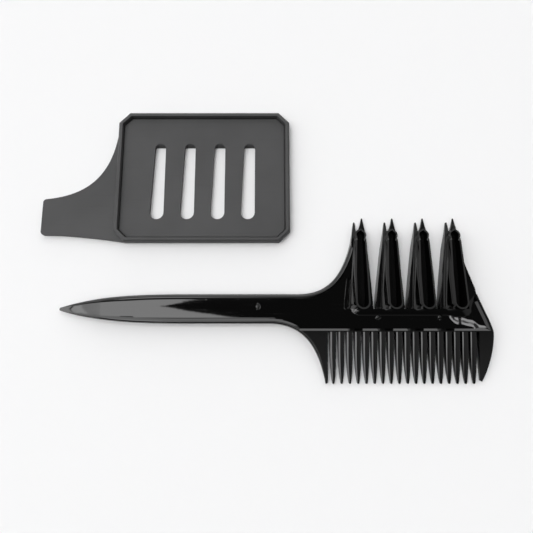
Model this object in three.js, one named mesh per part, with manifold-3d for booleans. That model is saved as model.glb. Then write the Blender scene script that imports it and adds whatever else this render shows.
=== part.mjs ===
// Two-piece highlighting set for hair colouring: a tail comb with a row of fine teeth
// and four hooked, ribbed prongs, and the slotted tint board that goes with it.
//
// Millimetres, +Z up. Both pieces lie face up on the table plane z = 0. The comb's own
// frame has x along the comb and y = 0 on the root line of its fine teeth. The board is
// drawn in the same frame as it sits on the comb, so its slots use the rib dimensions,
// and a group then lays it beside the comb.
//
// The comb is one moulding and the board is another. Each is divided here along flat
// planes into its named regions: handle, neck, spine, shoulder, guards, teeth, prongs,
// tines and ribs for the comb, tray and grip for the board.

import * as THREE from 'three';
import { mergeVertices } from 'three/addons/utils/BufferGeometryUtils.js';
import Module from 'manifold-3d';

const wasm = await Module();
wasm.setup();

// ---- Comb levels ---------------------------------------------------------------
const RIM_Z = 5.6; // top of the edge rims, of the prong root and of the tooth roots
const WEB_Z = 4.4; // recessed face between the rims
const PLATE_Z = 2.4; // top of the flat prong plates
const RIM_WIDTH = 2.0; // rim along the upper neck, the shoulder and the handle's top edge
const RIM_WALL = 0.8; // wall left standing beside the first and the last prong
const LOW_RIM_WIDTH = 1.2; // rim along the handle's and the neck's lower edge

// ---- Tail handle ---------------------------------------------------------------
const HANDLE_WIDTH = 15.7;
const HANDLE_AXIS_Y = 12.2;
const HANDLE_END_X = -30; // plane where the handle becomes the neck
const TAIL_TIP_X = -141.6; // centre of the tail's rounded end
const TAIL_TIP_RADIUS = 0.9;
const TAIL_TIP_Z = 1.5; // top of the tail where its rounded end begins
const TAIL_SLOPE_LENGTH = 24; // stretch over which the tail rises to the rim level
const HANDLE_POCKET_START = 12; // from the tip to the recessed face
const TAPER_LENGTH = 78; // stretch over which the blade widens from tip to full width
const TAPER_POWER = 3.3; // fullness of the spear outline
const PIN_MARK_RADIUS = 1.4; // shallow round ejector marks
const PIN_MARK_DEPTH = 0.3;
const HANDLE_MARK_X = -36;
const HANDLE_MARK_Y = 13.4;
const SPINE_MARK_Y = 7.9;
const SPINE_MARK_INSET = 9; // from the first and the last rib centre

// ---- Fine teeth ----------------------------------------------------------------
const TOOTH_COUNT = 18;
const TOOTH_PITCH = 4.33;
const TOOTH_WIDTH = 2.95;
const TOOTH_TIP_WIDTH = 1.1;
const TOOTH_TIP_FLAT = 0.7; // blunt end across the tip
const TOOTH_LENGTH = 26.8;
const TOOTH_TIP_Z = 1.6; // height of the top face at the tooth's tip
const TOOTH_ROOT_UNDER_Z = 0.3; // height of the underside at the root
const TOOTH_TIP_UNDER_Z = 0.7; // height of the underside at the tip
const TOOTH_TAPER_POWER = 4; // teeth stay wide and narrow late
const TOOTH_ROW_X = 0.9; // inner edge of the left guard
const TOOTH_GAP = TOOTH_PITCH - TOOTH_WIDTH;
const FIRST_TOOTH_X = TOOTH_ROW_X + TOOTH_GAP + TOOTH_WIDTH / 2;
const ROW_END_X = FIRST_TOOTH_X + (TOOTH_COUNT - 1) * TOOTH_PITCH + TOOTH_WIDTH / 2 + TOOTH_GAP;
const GUARD_TIP_WIDTH = 1.2;
const GUARD_TIP_FLAT = 0.6; // how far a guard's inner edge stops short of its tip
const GUARD_RIGHT_LENGTH = 25.6;

// ---- Spine and shoulder --------------------------------------------------------
const ROOT_BAR = 1.0; // full-height bar along the tooth roots
const SPINE_TOP_Y = 12.6; // plane where the prongs leave the spine
const BLOCK_FRONT_Y = 10.1; // front face of the raised prong root
const SHOULDER_SWELL = 7.8; // from the tooth row's end to the widest point of the shoulder
const SHOULDER_LEAST = 6; // least width of the shoulder beside the last prong's root
const BULGE_Y = -0.5;
const SHOULDER_TOP_Y = 42; // where the shoulder runs out along the last prong
const BLOCK_LEFT_WALL = 2.4; // raised root left of the first prong's edge
const BLOCK_RIGHT_WALL = 0.4;
const BLOCK_CORNER = 2;
const HORN_POCKET_Y = 42; // top of the recessed face inside the neck's horn
const HORN_POCKET_TURN_Y = 30;

// ---- Prongs --------------------------------------------------------------------
const PRONG_COUNT = 4;
const PRONG_PITCH = 16.92;
const FIRST_PRONG_X = 18.7; // centre of the first rib's round end
const PRONG_LEFT = 9.0; // plate edge left of the rib centre at the spine
const ROOT_GAP = 0.3; // slit between two plates at the spine
const PRONG_RIGHT = PRONG_PITCH - PRONG_LEFT - ROOT_GAP;
const LAST_PRONG_X = FIRST_PRONG_X + (PRONG_COUNT - 1) * PRONG_PITCH;
const BULGE_X = Math.max(ROW_END_X + SHOULDER_SWELL, LAST_PRONG_X + PRONG_RIGHT + SHOULDER_LEAST);
const SPIKE_TIP_Y = 63.1; // pointed right-hand tip
const SPIKE_ROOT_Y = 55.6;
const SPIKE_TIP_Z = 1.5;
const SPIKE_TIP_X = 3.1; // middle of the tip, right of the rib centre
const SPIKE_TIP_FLAT = 0.6;
const SPIKE_ROOT_X = 1.2; // left edge of the spike's root, right of the rib centre
const TINE_TIP_Y = 60; // left-hand tip, one level higher
const TINE_ROOT_WIDTH = 3.6;
const TINE_TIP_REACH = 1.2; // right edge of the tine's point, left of the rib centre
const TINE_TIP_Z = 4.9;
const TINE_TIP_FLAT = 0.6;
const TINE_CLEARANCE = 0.3; // between a tine and the rib beside it
const SIDE_RUN_Y = 52; // where the plates' straight sides end
const LEFT_RUN = 2.75; // plate edge left of the rib centre there
const RIGHT_RUN = 4.7; // plate edge right of the rib centre there

// ---- Hollow ribs ---------------------------------------------------------------
const RIB_ROOT_Y = 15.1; // centre of the round end
const RIB_ROOT_RADIUS = 3.75;
const RIB_NECK_Y = 48.9; // the two nubs
const RIB_NECK_HALF = 2.95;
const RIB_LEAN = 0.8; // sideways lean from the round end to the nubs
const RIB_WALL = 0.8;
const NUB_PINCH = 0.6; // how far each nub stands into the hollow
const EYE_Y = 51.8; // centre of the round eye past the nubs
const EYE_RADIUS = 3.05;
const EYE_APEX_Y = 55.4;
const RIB_ROOT_Z = 12.8;
const RIB_NECK_Z = 8.2;
const RIB_APEX_Z = 7.0;
const NUB_LENGTH = 1; // run over which the wall turns inwards to each nub
const EYE_START_ANGLE = 25; // degrees below the eye's level where its arc begins
const EYE_END_ANGLE = 65; // degrees above it where the arc gives way to the point
const EYE_APEX_SHIFT = 0.3;

// ---- Tint board ----------------------------------------------------------------
const BOARD_Z = 2.4; // top of the tray's floor and of the grip
const BOARD_RIM_Z = 4.7;
const BOARD_RIM_WIDTH = 2.2;
const BOARD_RIM_BEVEL = 0.8;
const BOARD_LEFT = 23.1; // tray edge left of the first rib centre
const BOARD_RIGHT = 23.4; // tray edge right of the last rib centre
const BOARD_BOTTOM_Y = -1.9;
const BOARD_TOP_Y = 73.9;
const BOARD_CORNER = 6;
const SLOT_CLEARANCE = 0.15; // all round, between a rib and its slot
const SLOT_RAMP = 2.5; // length of the sloped far end of each slot
const GRIP_END_X = -44.8;
const GRIP_END_TOP_Y = 22.8;
const GRIP_END_BOTTOM_Y = 2.2;
const GRIP_CORNER = 2;
const GRIP_TOP_GAP = 0.5; // the grip's upper curve starts this far below the tray's cut corner
const BOARD_REST = new THREE.Vector3(-111.1, 50.8, 0); // seat on the comb to place beside it

const CURVE_STEPS = 14;
const TAIL_POINT_SPACING = 1.4; // above 1, the tail's outline points crowd towards its tip
const ARC_STEPS = 12;

// ---- Solids --------------------------------------------------------------------

/** A closed three.js geometry as a manifold solid. */
function solidOf(geometry) {
  const bare = geometry.clone();
  bare.deleteAttribute('normal');
  bare.deleteAttribute('uv');
  const merged = mergeVertices(bare, 1e-5);
  return new wasm.Manifold(
    new wasm.Mesh({
      numProp: 3,
      vertProperties: new Float32Array(merged.attributes.position.array),
      triVerts: new Uint32Array(merged.index.array),
    }),
  );
}

/** A manifold solid as a three.js geometry. */
function geometryOf(solid) {
  const mesh = solid.getMesh();
  const geometry = new THREE.BufferGeometry();
  geometry.setAttribute('position', new THREE.BufferAttribute(mesh.vertProperties, 3));
  geometry.setIndex(new THREE.BufferAttribute(mesh.triVerts, 1));
  const flat = geometry.toNonIndexed();
  flat.computeVertexNormals();
  return flat;
}

/** An outline in XY raised from one level to another. */
function prism(points, low, high) {
  const geometry = new THREE.ExtrudeGeometry(new THREE.Shape(points), {
    depth: high - low,
    bevelEnabled: false,
  });
  geometry.translate(0, 0, low);
  return solidOf(geometry);
}

/** A side profile, given as (y, z) points, spread along X. */
function profileAlongX(points, fromX, toX) {
  const geometry = new THREE.ExtrudeGeometry(new THREE.Shape(points), {
    depth: toX - fromX,
    bevelEnabled: false,
  });
  geometry.rotateX(Math.PI / 2);
  geometry.rotateZ(Math.PI / 2);
  geometry.translate(fromX, 0, 0);
  return solidOf(geometry);
}

/** A block between two corners. */
function block(low, high) {
  const geometry = new THREE.BoxGeometry(high[0] - low[0], high[1] - low[1], high[2] - low[2]);
  geometry.translate((low[0] + high[0]) / 2, (low[1] + high[1]) / 2, (low[2] + high[2]) / 2);
  return solidOf(geometry);
}

function named(name, solid, material) {
  const mesh = new THREE.Mesh(geometryOf(solid), material);
  mesh.name = name;
  return mesh;
}

// ---- Outlines ------------------------------------------------------------------

const at = (x, y) => new THREE.Vector2(x, y);

/** Points along a cubic curve. */
function curve(start, first, second, end) {
  return new THREE.CubicBezierCurve(start, first, second, end).getPoints(CURVE_STEPS);
}

/** Points along an arc, angles in degrees, counter-clockwise when the end is larger. */
function arc(centre, radius, from, to) {
  const points = [];
  for (let i = 0; i <= ARC_STEPS; i += 1) {
    const angle = THREE.MathUtils.degToRad(from + ((to - from) * i) / ARC_STEPS);
    points.push(at(centre.x + radius * Math.cos(angle), centre.y + radius * Math.sin(angle)));
  }
  return points;
}

/** The same run of points moved sideways, to the left of its direction for a positive distance. */
function offsetRun(points, distance) {
  return points.map((point, i) => {
    const before = points[Math.max(i - 1, 0)];
    const after = points[Math.min(i + 1, points.length - 1)];
    const along = after.clone().sub(before).normalize();
    return at(point.x - along.y * distance, point.y + along.x * distance);
  });
}

/** Half width of the spear-shaped tail at a place along it. */
function tailHalfWidth(x) {
  const reach = Math.min((x - TAIL_TIP_X) / TAPER_LENGTH, 1);
  return TAIL_TIP_RADIUS + (HANDLE_WIDTH / 2 - TAIL_TIP_RADIUS) * (1 - (1 - reach) ** TAPER_POWER);
}

/** One long edge of the tail, from the tip to the neck; side is 1 above and -1 below. */
function tailEdge(side, inset, fromX) {
  const points = [];
  const fullX = TAIL_TIP_X + TAPER_LENGTH;
  for (let i = 0; i <= CURVE_STEPS; i += 1) {
    const x = fromX + (fullX - fromX) * (i / CURVE_STEPS) ** TAIL_POINT_SPACING;
    points.push(at(x, HANDLE_AXIS_Y + side * (tailHalfWidth(x) - inset)));
  }
  points.push(at(HANDLE_END_X, HANDLE_AXIS_Y + side * (HANDLE_WIDTH / 2 - inset)));
  return points;
}

const HANDLE_TOP_Y = HANDLE_AXIS_Y + HANDLE_WIDTH / 2;
const HANDLE_BOTTOM_Y = HANDLE_AXIS_Y - HANDLE_WIDTH / 2;

/** Where a plate's straight left side stands at a height y, from the rib centre. */
function leftSide(y) {
  return -PRONG_LEFT + ((PRONG_LEFT - LEFT_RUN) * (y - SPINE_TOP_Y)) / (SIDE_RUN_Y - SPINE_TOP_Y);
}

/** Where a plate's straight right side stands at a height y, from the rib centre. */
function rightSide(y) {
  return PRONG_RIGHT - ((PRONG_RIGHT - RIGHT_RUN) * (y - SPINE_TOP_Y)) / (SIDE_RUN_Y - SPINE_TOP_Y);
}

/** Upper edge of the neck, from the handle to the tip of the horn beside the first prong. */
function neckUpper() {
  const tip = at(FIRST_PRONG_X + leftSide(SIDE_RUN_Y), SIDE_RUN_Y);
  return curve(at(-14, HANDLE_TOP_Y), at(3.5, HANDLE_TOP_Y + 0.2), at(10.6, 32), tip);
}

/** Lower edge of the neck, from the handle to the tip of the left guard. */
function neckLower() {
  const tip = at(TOOTH_ROW_X - GUARD_TIP_WIDTH, -TOOTH_LENGTH);
  return curve(at(HANDLE_END_X, HANDLE_BOTTOM_Y), at(-13, HANDLE_BOTTOM_Y), at(-4, -6), tip);
}

/** Outer edge of the right guard, from its tip to the shoulder's widest point. */
function guardOuter() {
  const tip = at(ROW_END_X + GUARD_TIP_WIDTH, -GUARD_RIGHT_LENGTH);
  return curve(tip, at(ROW_END_X + 5, -19.5), at(BULGE_X + 0.3, -10), at(BULGE_X, BULGE_Y));
}

/** Outer edge of the shoulder, from its widest point to the side of the last prong. */
function shoulderOuter() {
  const bendY = SHOULDER_TOP_Y / 2;
  const end = at(LAST_PRONG_X + rightSide(SHOULDER_TOP_Y), SHOULDER_TOP_Y);
  const bend = at(LAST_PRONG_X + rightSide(bendY) + 0.2, bendY);
  return curve(at(BULGE_X, BULGE_Y), at(BULGE_X - 0.8, 7), bend, end);
}

// ---- Comb: handle, neck, spine, shoulder and guards ----------------------------

/** The spear-shaped tail with its recessed face and small rounded end. */
function tailHandle() {
  const upper = tailEdge(1, 0, TAIL_TIP_X);
  const lower = tailEdge(-1, 0, TAIL_TIP_X);
  const round = arc(at(TAIL_TIP_X, HANDLE_AXIS_Y), TAIL_TIP_RADIUS, 90, 270).slice(1, -1);
  const body = prism([...lower, ...upper.reverse(), ...round], 0, RIM_Z);
  const pocketStart = TAIL_TIP_X + HANDLE_POCKET_START;
  const pocketUpper = tailEdge(1, RIM_WIDTH, pocketStart);
  const pocketLower = tailEdge(-1, LOW_RIM_WIDTH, pocketStart);
  const pocket = prism([...pocketLower, ...pocketUpper.reverse()], WEB_Z, RIM_Z + 1);
  const mark = pinMark(HANDLE_MARK_X, HANDLE_MARK_Y);
  return body.subtract(pocket).subtract(mark).intersect(tailSlope());
}

/** The slope that thins the tail towards its tip, as a solid to keep. */
function tailSlope() {
  const startX = TAIL_TIP_X - TAIL_TIP_RADIUS;
  const profile = [
    at(startX, -1),
    at(startX, TAIL_TIP_Z),
    at(startX + TAIL_SLOPE_LENGTH, RIM_Z),
    at(HANDLE_END_X, RIM_Z),
    at(HANDLE_END_X, -1),
  ];
  const depth = HANDLE_TOP_Y + HANDLE_WIDTH;
  const geometry = new THREE.ExtrudeGeometry(new THREE.Shape(profile), { depth, bevelEnabled: false });
  geometry.rotateX(Math.PI / 2);
  geometry.translate(0, depth, 0);
  return solidOf(geometry);
}

/** A shallow round mark in the recessed face. */
function pinMark(x, y) {
  return prism(arc(at(x, y), PIN_MARK_RADIUS, 0, 360).slice(1), WEB_Z - PIN_MARK_DEPTH, RIM_Z + 1);
}

/** Outline of everything right of the handle except teeth and prongs. */
function headOutline() {
  return [
    ...neckLower(),
    at(TOOTH_ROW_X, -TOOTH_LENGTH + GUARD_TIP_FLAT),
    at(TOOTH_ROW_X, 0),
    at(ROW_END_X, 0),
    at(ROW_END_X, -GUARD_RIGHT_LENGTH + GUARD_TIP_FLAT),
    ...guardOuter(),
    ...shoulderOuter().slice(1),
    at(LAST_PRONG_X + PRONG_RIGHT, SPINE_TOP_Y),
    at(FIRST_PRONG_X - PRONG_LEFT, SPINE_TOP_Y),
    ...neckUpper().reverse(),
    at(HANDLE_END_X, HANDLE_TOP_Y),
  ];
}

/** The recessed face of neck, spine and shoulder, bounded by rims and the prong root. */
function headPocket() {
  const above = (point) => point.y > ROOT_BAR;
  const lower = offsetRun(neckLower(), LOW_RIM_WIDTH).filter(above);
  const wallBeside = (y) => LAST_PRONG_X + rightSide(y) + RIM_WALL;
  const right = offsetRun(shoulderOuter(), RIM_WIDTH).filter(
    (point) => above(point) && point.x > wallBeside(point.y) + RIM_WALL / 2,
  );
  const horn = offsetRun(neckUpper().reverse(), RIM_WIDTH);
  const upper = horn.filter((point) => point.y < HORN_POCKET_Y);
  const hornWall = FIRST_PRONG_X + leftSide(HORN_POCKET_TURN_Y) - RIM_WALL;
  const blockLeft = FIRST_PRONG_X - PRONG_LEFT + BLOCK_LEFT_WALL;
  const blockRight = LAST_PRONG_X + PRONG_RIGHT - BLOCK_RIGHT_WALL;
  return prism(
    [
      at(HANDLE_END_X, HANDLE_BOTTOM_Y + LOW_RIM_WIDTH),
      ...lower.slice(1),
      at(lower.at(-1).x + 1, ROOT_BAR),
      at(right[0].x, ROOT_BAR),
      ...right,
      at(wallBeside(right.at(-1).y), right.at(-1).y),
      at(wallBeside(SPINE_TOP_Y), SPINE_TOP_Y),
      at(blockRight, SPINE_TOP_Y),
      at(blockRight, BLOCK_FRONT_Y + BLOCK_CORNER),
      at(blockRight - BLOCK_CORNER, BLOCK_FRONT_Y),
      at(blockLeft + BLOCK_CORNER, BLOCK_FRONT_Y),
      at(blockLeft, BLOCK_FRONT_Y + BLOCK_CORNER),
      at(blockLeft, SPINE_TOP_Y),
      at(FIRST_PRONG_X - PRONG_LEFT - RIM_WALL, SPINE_TOP_Y),
      at(hornWall, HORN_POCKET_TURN_Y),
      ...upper,
      at(HANDLE_END_X, HANDLE_TOP_Y - RIM_WIDTH),
    ],
    WEB_Z,
    RIM_Z + 1,
  );
}

/** Neck, spine and shoulder with the guards still on, before they are divided. */
function head() {
  return prism(headOutline(), 0, RIM_Z).subtract(headPocket());
}

/** The slope that thins teeth and guards towards their tips, as a solid to keep. */
function toothSlope(length) {
  const points = [
    at(0, TOOTH_ROOT_UNDER_Z),
    at(0, RIM_Z),
    at(-length, TOOTH_TIP_Z),
    at(-length, TOOTH_TIP_UNDER_Z),
  ];
  return profileAlongX(points, HANDLE_END_X, BULGE_X + 5);
}

/** Divides the head into its regions along flat planes. */
function headRegions() {
  const whole = head();
  const far = 200;
  const blockLeft = FIRST_PRONG_X - PRONG_LEFT;
  const blockRight = LAST_PRONG_X + PRONG_RIGHT;
  const leftPart = [
    at(-far, 0),
    at(blockLeft, 0),
    at(blockLeft, SPINE_TOP_Y),
    at(FIRST_PRONG_X, SPINE_TOP_Y),
    at(FIRST_PRONG_X, far),
    at(-far, far),
  ];
  const rightPart = [
    at(blockRight, 0),
    at(far, 0),
    at(far, far),
    at(LAST_PRONG_X, far),
    at(LAST_PRONG_X, SPINE_TOP_Y),
    at(blockRight, SPINE_TOP_Y),
  ];
  const firstMark = pinMark(FIRST_PRONG_X + SPINE_MARK_INSET, SPINE_MARK_Y);
  const lastMark = pinMark(LAST_PRONG_X - SPINE_MARK_INSET, SPINE_MARK_Y);
  const spineBlock = block([blockLeft, 0, -1], [blockRight, SPINE_TOP_Y, far]);
  return {
    neck: whole.intersect(prism(leftPart, -1, far)),
    spine: whole.intersect(spineBlock).subtract(firstMark).subtract(lastMark),
    shoulder: whole.intersect(prism(rightPart, -1, far)),
    guard_left: whole
      .intersect(block([-far, -far, -1], [TOOTH_ROW_X + 0.1, 0, far]))
      .intersect(toothSlope(TOOTH_LENGTH)),
    guard_right: whole
      .intersect(block([ROW_END_X - 0.1, -far, -1], [far, 0, far]))
      .intersect(toothSlope(TOOTH_LENGTH)),
  };
}

/** One fine tooth, drawn on x = 0. */
function tooth() {
  const right = [];
  const tipStart = TOOTH_LENGTH - TOOTH_TIP_WIDTH / 2;
  for (let i = 0; i <= CURVE_STEPS / 2; i += 1) {
    const reach = Math.sqrt(i / (CURVE_STEPS / 2));
    const spare = (TOOTH_WIDTH - TOOTH_TIP_WIDTH) / 2;
    right.push(at(TOOTH_TIP_WIDTH / 2 + spare * (1 - reach ** TOOTH_TAPER_POWER), -tipStart * reach));
  }
  const left = right.map((point) => at(-point.x, point.y));
  const tip = [at(TOOTH_TIP_FLAT / 2, -TOOTH_LENGTH), at(-TOOTH_TIP_FLAT / 2, -TOOTH_LENGTH)];
  return prism([...right, ...tip, ...left.reverse()], 0, RIM_Z).intersect(toothSlope(TOOTH_LENGTH));
}

// ---- Comb: prongs, tines and ribs, drawn about the rib centre x = 0 ------------

/** Flat prong plate with its pointed right-hand tip. */
function prongPlate() {
  const outline = [
    at(-PRONG_LEFT, SPINE_TOP_Y),
    at(PRONG_RIGHT, SPINE_TOP_Y),
    at(RIGHT_RUN, SIDE_RUN_Y),
    at(RIGHT_RUN, SPIKE_ROOT_Y),
    at(SPIKE_TIP_X + SPIKE_TIP_FLAT / 2, SPIKE_TIP_Y),
    at(SPIKE_TIP_X - SPIKE_TIP_FLAT / 2, SPIKE_TIP_Y),
    at(SPIKE_ROOT_X, SPIKE_ROOT_Y),
    at(-SPIKE_ROOT_X, SPIKE_ROOT_Y - 1),
    at(-LEFT_RUN, SIDE_RUN_Y),
  ];
  const profile = [
    at(0, 0),
    at(SPIKE_TIP_Y, 0),
    at(SPIKE_TIP_Y, SPIKE_TIP_Z),
    at(SPIKE_ROOT_Y, PLATE_Z),
    at(0, PLATE_Z),
  ];
  return prism(outline, 0, PLATE_Z).intersect(profileAlongX(profile, -PRONG_PITCH, PRONG_PITCH));
}

/** Raised left-hand tine, standing on the prong plate and reaching past it. */
function tine() {
  const outline = [
    at(-PRONG_LEFT, SPINE_TOP_Y),
    at(-PRONG_LEFT + TINE_ROOT_WIDTH, SPINE_TOP_Y),
    at(-TINE_TIP_REACH, EYE_APEX_Y),
    at(-TINE_TIP_REACH - TINE_TIP_FLAT / 2, TINE_TIP_Y),
    at(-TINE_TIP_REACH - TINE_TIP_FLAT * 1.5, TINE_TIP_Y),
    at(-LEFT_RUN, SIDE_RUN_Y),
  ];
  const profile = [
    at(0, 0),
    at(TINE_TIP_Y, 0),
    at(TINE_TIP_Y, TINE_TIP_Z),
    at(SPINE_TOP_Y, RIM_Z),
    at(0, RIM_Z),
  ];
  const slope = profileAlongX(profile, -PRONG_PITCH, PRONG_PITCH);
  const ribRoom = prism(keyhole(TINE_CLEARANCE, 0), PLATE_Z - 1, RIM_Z + 1);
  return prism(outline, PLATE_Z, RIM_Z).intersect(slope).subtract(ribRoom);
}

/** Keyhole outline of a rib, moved outwards (positive) or inwards (negative) everywhere. */
function keyhole(grow, pinch) {
  const eye = at(RIB_LEAN, EYE_Y);
  const neck = RIB_NECK_HALF + grow;
  const radius = EYE_RADIUS + grow;
  return [
    ...arc(at(0, RIB_ROOT_Y), RIB_ROOT_RADIUS + grow, 180, 360),
    at(RIB_LEAN + neck, RIB_NECK_Y - NUB_LENGTH),
    at(RIB_LEAN + neck - pinch, RIB_NECK_Y),
    ...arc(eye, radius, -EYE_START_ANGLE, EYE_END_ANGLE),
    at(RIB_LEAN + EYE_APEX_SHIFT, EYE_APEX_Y + grow),
    ...arc(eye, radius, 180 - EYE_END_ANGLE, 180 + EYE_START_ANGLE),
    at(RIB_LEAN - neck + pinch, RIB_NECK_Y),
    at(RIB_LEAN - neck, RIB_NECK_Y - NUB_LENGTH),
  ];
}

/** Hollow keyhole-shaped rib, tall at the spine and low at the eye. */
function rib() {
  const shell = prism(keyhole(0, 0.1), PLATE_Z, RIB_ROOT_Z + 1);
  const hollow = prism(keyhole(-RIB_WALL, NUB_PINCH), PLATE_Z - 1, RIB_ROOT_Z + 2);
  const slope = profileAlongX(
    [
      at(0, 0),
      at(EYE_APEX_Y + 1, 0),
      at(EYE_APEX_Y + 1, RIB_APEX_Z),
      at(RIB_NECK_Y, RIB_NECK_Z),
      at(RIB_ROOT_Y - RIB_ROOT_RADIUS, RIB_ROOT_Z),
      at(0, RIB_ROOT_Z),
    ],
    -PRONG_PITCH,
    PRONG_PITCH,
  );
  const spineBlock = block([-PRONG_PITCH, 0, 0], [PRONG_PITCH, SPINE_TOP_Y, RIM_Z]);
  return shell.subtract(hollow).intersect(slope).subtract(spineBlock);
}

// ---- Tint board ----------------------------------------------------------------

const BOARD_X0 = FIRST_PRONG_X - BOARD_LEFT;
const BOARD_X1 = LAST_PRONG_X + BOARD_RIGHT;

/** The tray's outline: a rectangle with cut corners, inset all round. */
function trayOutline(inset) {
  const cut = BOARD_CORNER - inset * (2 - Math.SQRT2);
  const [x0, x1] = [BOARD_X0 + inset, BOARD_X1 - inset];
  const [y0, y1] = [BOARD_BOTTOM_Y + inset, BOARD_TOP_Y - inset];
  return [
    at(x0 + cut, y0),
    at(x1 - cut, y0),
    at(x1, y0 + cut),
    at(x1, y1 - cut),
    at(x1 - cut, y1),
    at(x0 + cut, y1),
    at(x0, y1 - cut),
    at(x0, y0 + cut),
  ];
}

/** One slot, cut for the rib at x, with the sloped far end left standing. */
function slotCut(x) {
  const halfTop = RIB_NECK_HALF + SLOT_CLEARANCE;
  const endY = EYE_APEX_Y + SLOT_CLEARANCE * 2;
  const outline = [
    ...arc(at(x, RIB_ROOT_Y), RIB_ROOT_RADIUS + SLOT_CLEARANCE, 180, 360),
    ...arc(at(x + RIB_LEAN, endY - halfTop), halfTop, 0, 180),
  ];
  const ramp = profileAlongX(
    [at(endY - SLOT_RAMP, 0), at(endY + 1, 0), at(endY + 1, BOARD_Z), at(endY, BOARD_Z)],
    x - PRONG_PITCH,
    x + PRONG_PITCH,
  );
  return prism(outline, -1, BOARD_RIM_Z + 1).subtract(ramp);
}

/** Tray with its bevelled rim and four slots. */
function boardTray() {
  const outer = trayOutline(0);
  const lower = prism(outer, 0, BOARD_RIM_Z - BOARD_RIM_BEVEL);
  const crown = new THREE.ExtrudeGeometry(new THREE.Shape(trayOutline(BOARD_RIM_BEVEL)), {
    depth: BOARD_RIM_Z - 2 * BOARD_RIM_BEVEL,
    bevelEnabled: true,
    bevelSegments: 1,
    bevelSize: BOARD_RIM_BEVEL,
    bevelThickness: BOARD_RIM_BEVEL,
  });
  crown.translate(0, 0, BOARD_RIM_BEVEL);
  const inside = prism(trayOutline(BOARD_RIM_WIDTH), BOARD_Z, BOARD_RIM_Z + 1);
  let tray = lower.add(solidOf(crown)).subtract(inside);
  for (let i = 0; i < PRONG_COUNT; i += 1) {
    tray = tray.subtract(slotCut(FIRST_PRONG_X + i * PRONG_PITCH));
  }
  return tray;
}

/** Short grip that runs from the tray's left side over the comb's handle. */
function boardGrip() {
  const cornerX = GRIP_END_X + GRIP_CORNER;
  const outline = [
    ...curve(
      at(BOARD_X0, BOARD_TOP_Y - BOARD_CORNER - GRIP_TOP_GAP),
      at(BOARD_X0 - 2, 39),
      at(BOARD_X0 - 13, GRIP_END_TOP_Y + 2.7),
      at(cornerX, GRIP_END_TOP_Y),
    ),
    ...arc(at(cornerX, GRIP_END_TOP_Y - GRIP_CORNER), GRIP_CORNER, 110, 180),
    ...arc(at(cornerX, GRIP_END_BOTTOM_Y + GRIP_CORNER), GRIP_CORNER, 180, 270),
    ...curve(
      at(cornerX + 2, GRIP_END_BOTTOM_Y),
      at(-30, GRIP_END_BOTTOM_Y),
      at(-14, 0.4),
      at(BOARD_X0 + BOARD_CORNER, BOARD_BOTTOM_Y),
    ),
    at(BOARD_X0, BOARD_BOTTOM_Y + BOARD_CORNER),
  ];
  return prism(outline, 0, BOARD_Z);
}

// ---- Materials -----------------------------------------------------------------

function glossyBlack() {
  return new THREE.MeshStandardMaterial({ color: 0x0c0c0d, roughness: 0.16, metalness: 0 });
}

function satinCharcoal() {
  return new THREE.MeshStandardMaterial({ color: 0x2a2a2c, roughness: 0.48, metalness: 0 });
}

// ---- Assembly ------------------------------------------------------------------

/** A copy of a mesh's shape under its own name, moved along x. */
function placedCopy(name, solid, material, x) {
  const mesh = named(name, solid, material);
  mesh.position.x = x;
  return mesh;
}

function buildComb() {
  const comb = new THREE.Group();
  const material = glossyBlack();
  comb.add(named('tail_handle', tailHandle(), material));
  for (const [name, solid] of Object.entries(headRegions())) {
    comb.add(named(name, solid, material));
  }
  const toothSolid = tooth();
  for (let i = 0; i < TOOTH_COUNT; i += 1) {
    const name = `tooth_${String(i + 1).padStart(2, '0')}`;
    comb.add(placedCopy(name, toothSolid, material, FIRST_TOOTH_X + i * TOOTH_PITCH));
  }
  const prongParts = { prong: prongPlate(), tine: tine(), rib: rib() };
  for (let i = 0; i < PRONG_COUNT; i += 1) {
    for (const [name, solid] of Object.entries(prongParts)) {
      comb.add(placedCopy(`${name}_${i + 1}`, solid, material, FIRST_PRONG_X + i * PRONG_PITCH));
    }
  }
  return comb;
}

function buildBoard() {
  const board = new THREE.Group();
  const material = satinCharcoal();
  board.add(named('board_tray', boardTray(), material));
  board.add(named('board_grip', boardGrip(), material));
  board.position.copy(BOARD_REST);
  return board;
}

/** Both pieces, with the origin under the middle of the set. */
function buildSet() {
  const set = new THREE.Group();
  set.add(buildComb(), buildBoard());
  set.updateMatrixWorld(true);
  const box = new THREE.Box3().setFromObject(set);
  const middle = box.getCenter(new THREE.Vector3());
  set.position.set(-middle.x, -middle.y, 0);
  return set;
}

export default buildSet();
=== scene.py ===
"""Looks for a two-piece highlighting set: a glossy tail comb and its satin slotted board.

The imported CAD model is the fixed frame. Every piece here is drawn in metres in that
frame, rides on the comb or on the board, and stands for the CAD nodes it replaces.
Outlines are written in millimetres in the comb's own axes: x along the comb, y = 0 on
the root line of the fine teeth. Their places are worked out from the CAD boxes.
"""

import logging
import math
from dataclasses import dataclass
from enum import Enum
from typing import Callable, Sequence

import bmesh
import bpy
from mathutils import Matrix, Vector
from mathutils.geometry import interpolate_bezier


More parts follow.
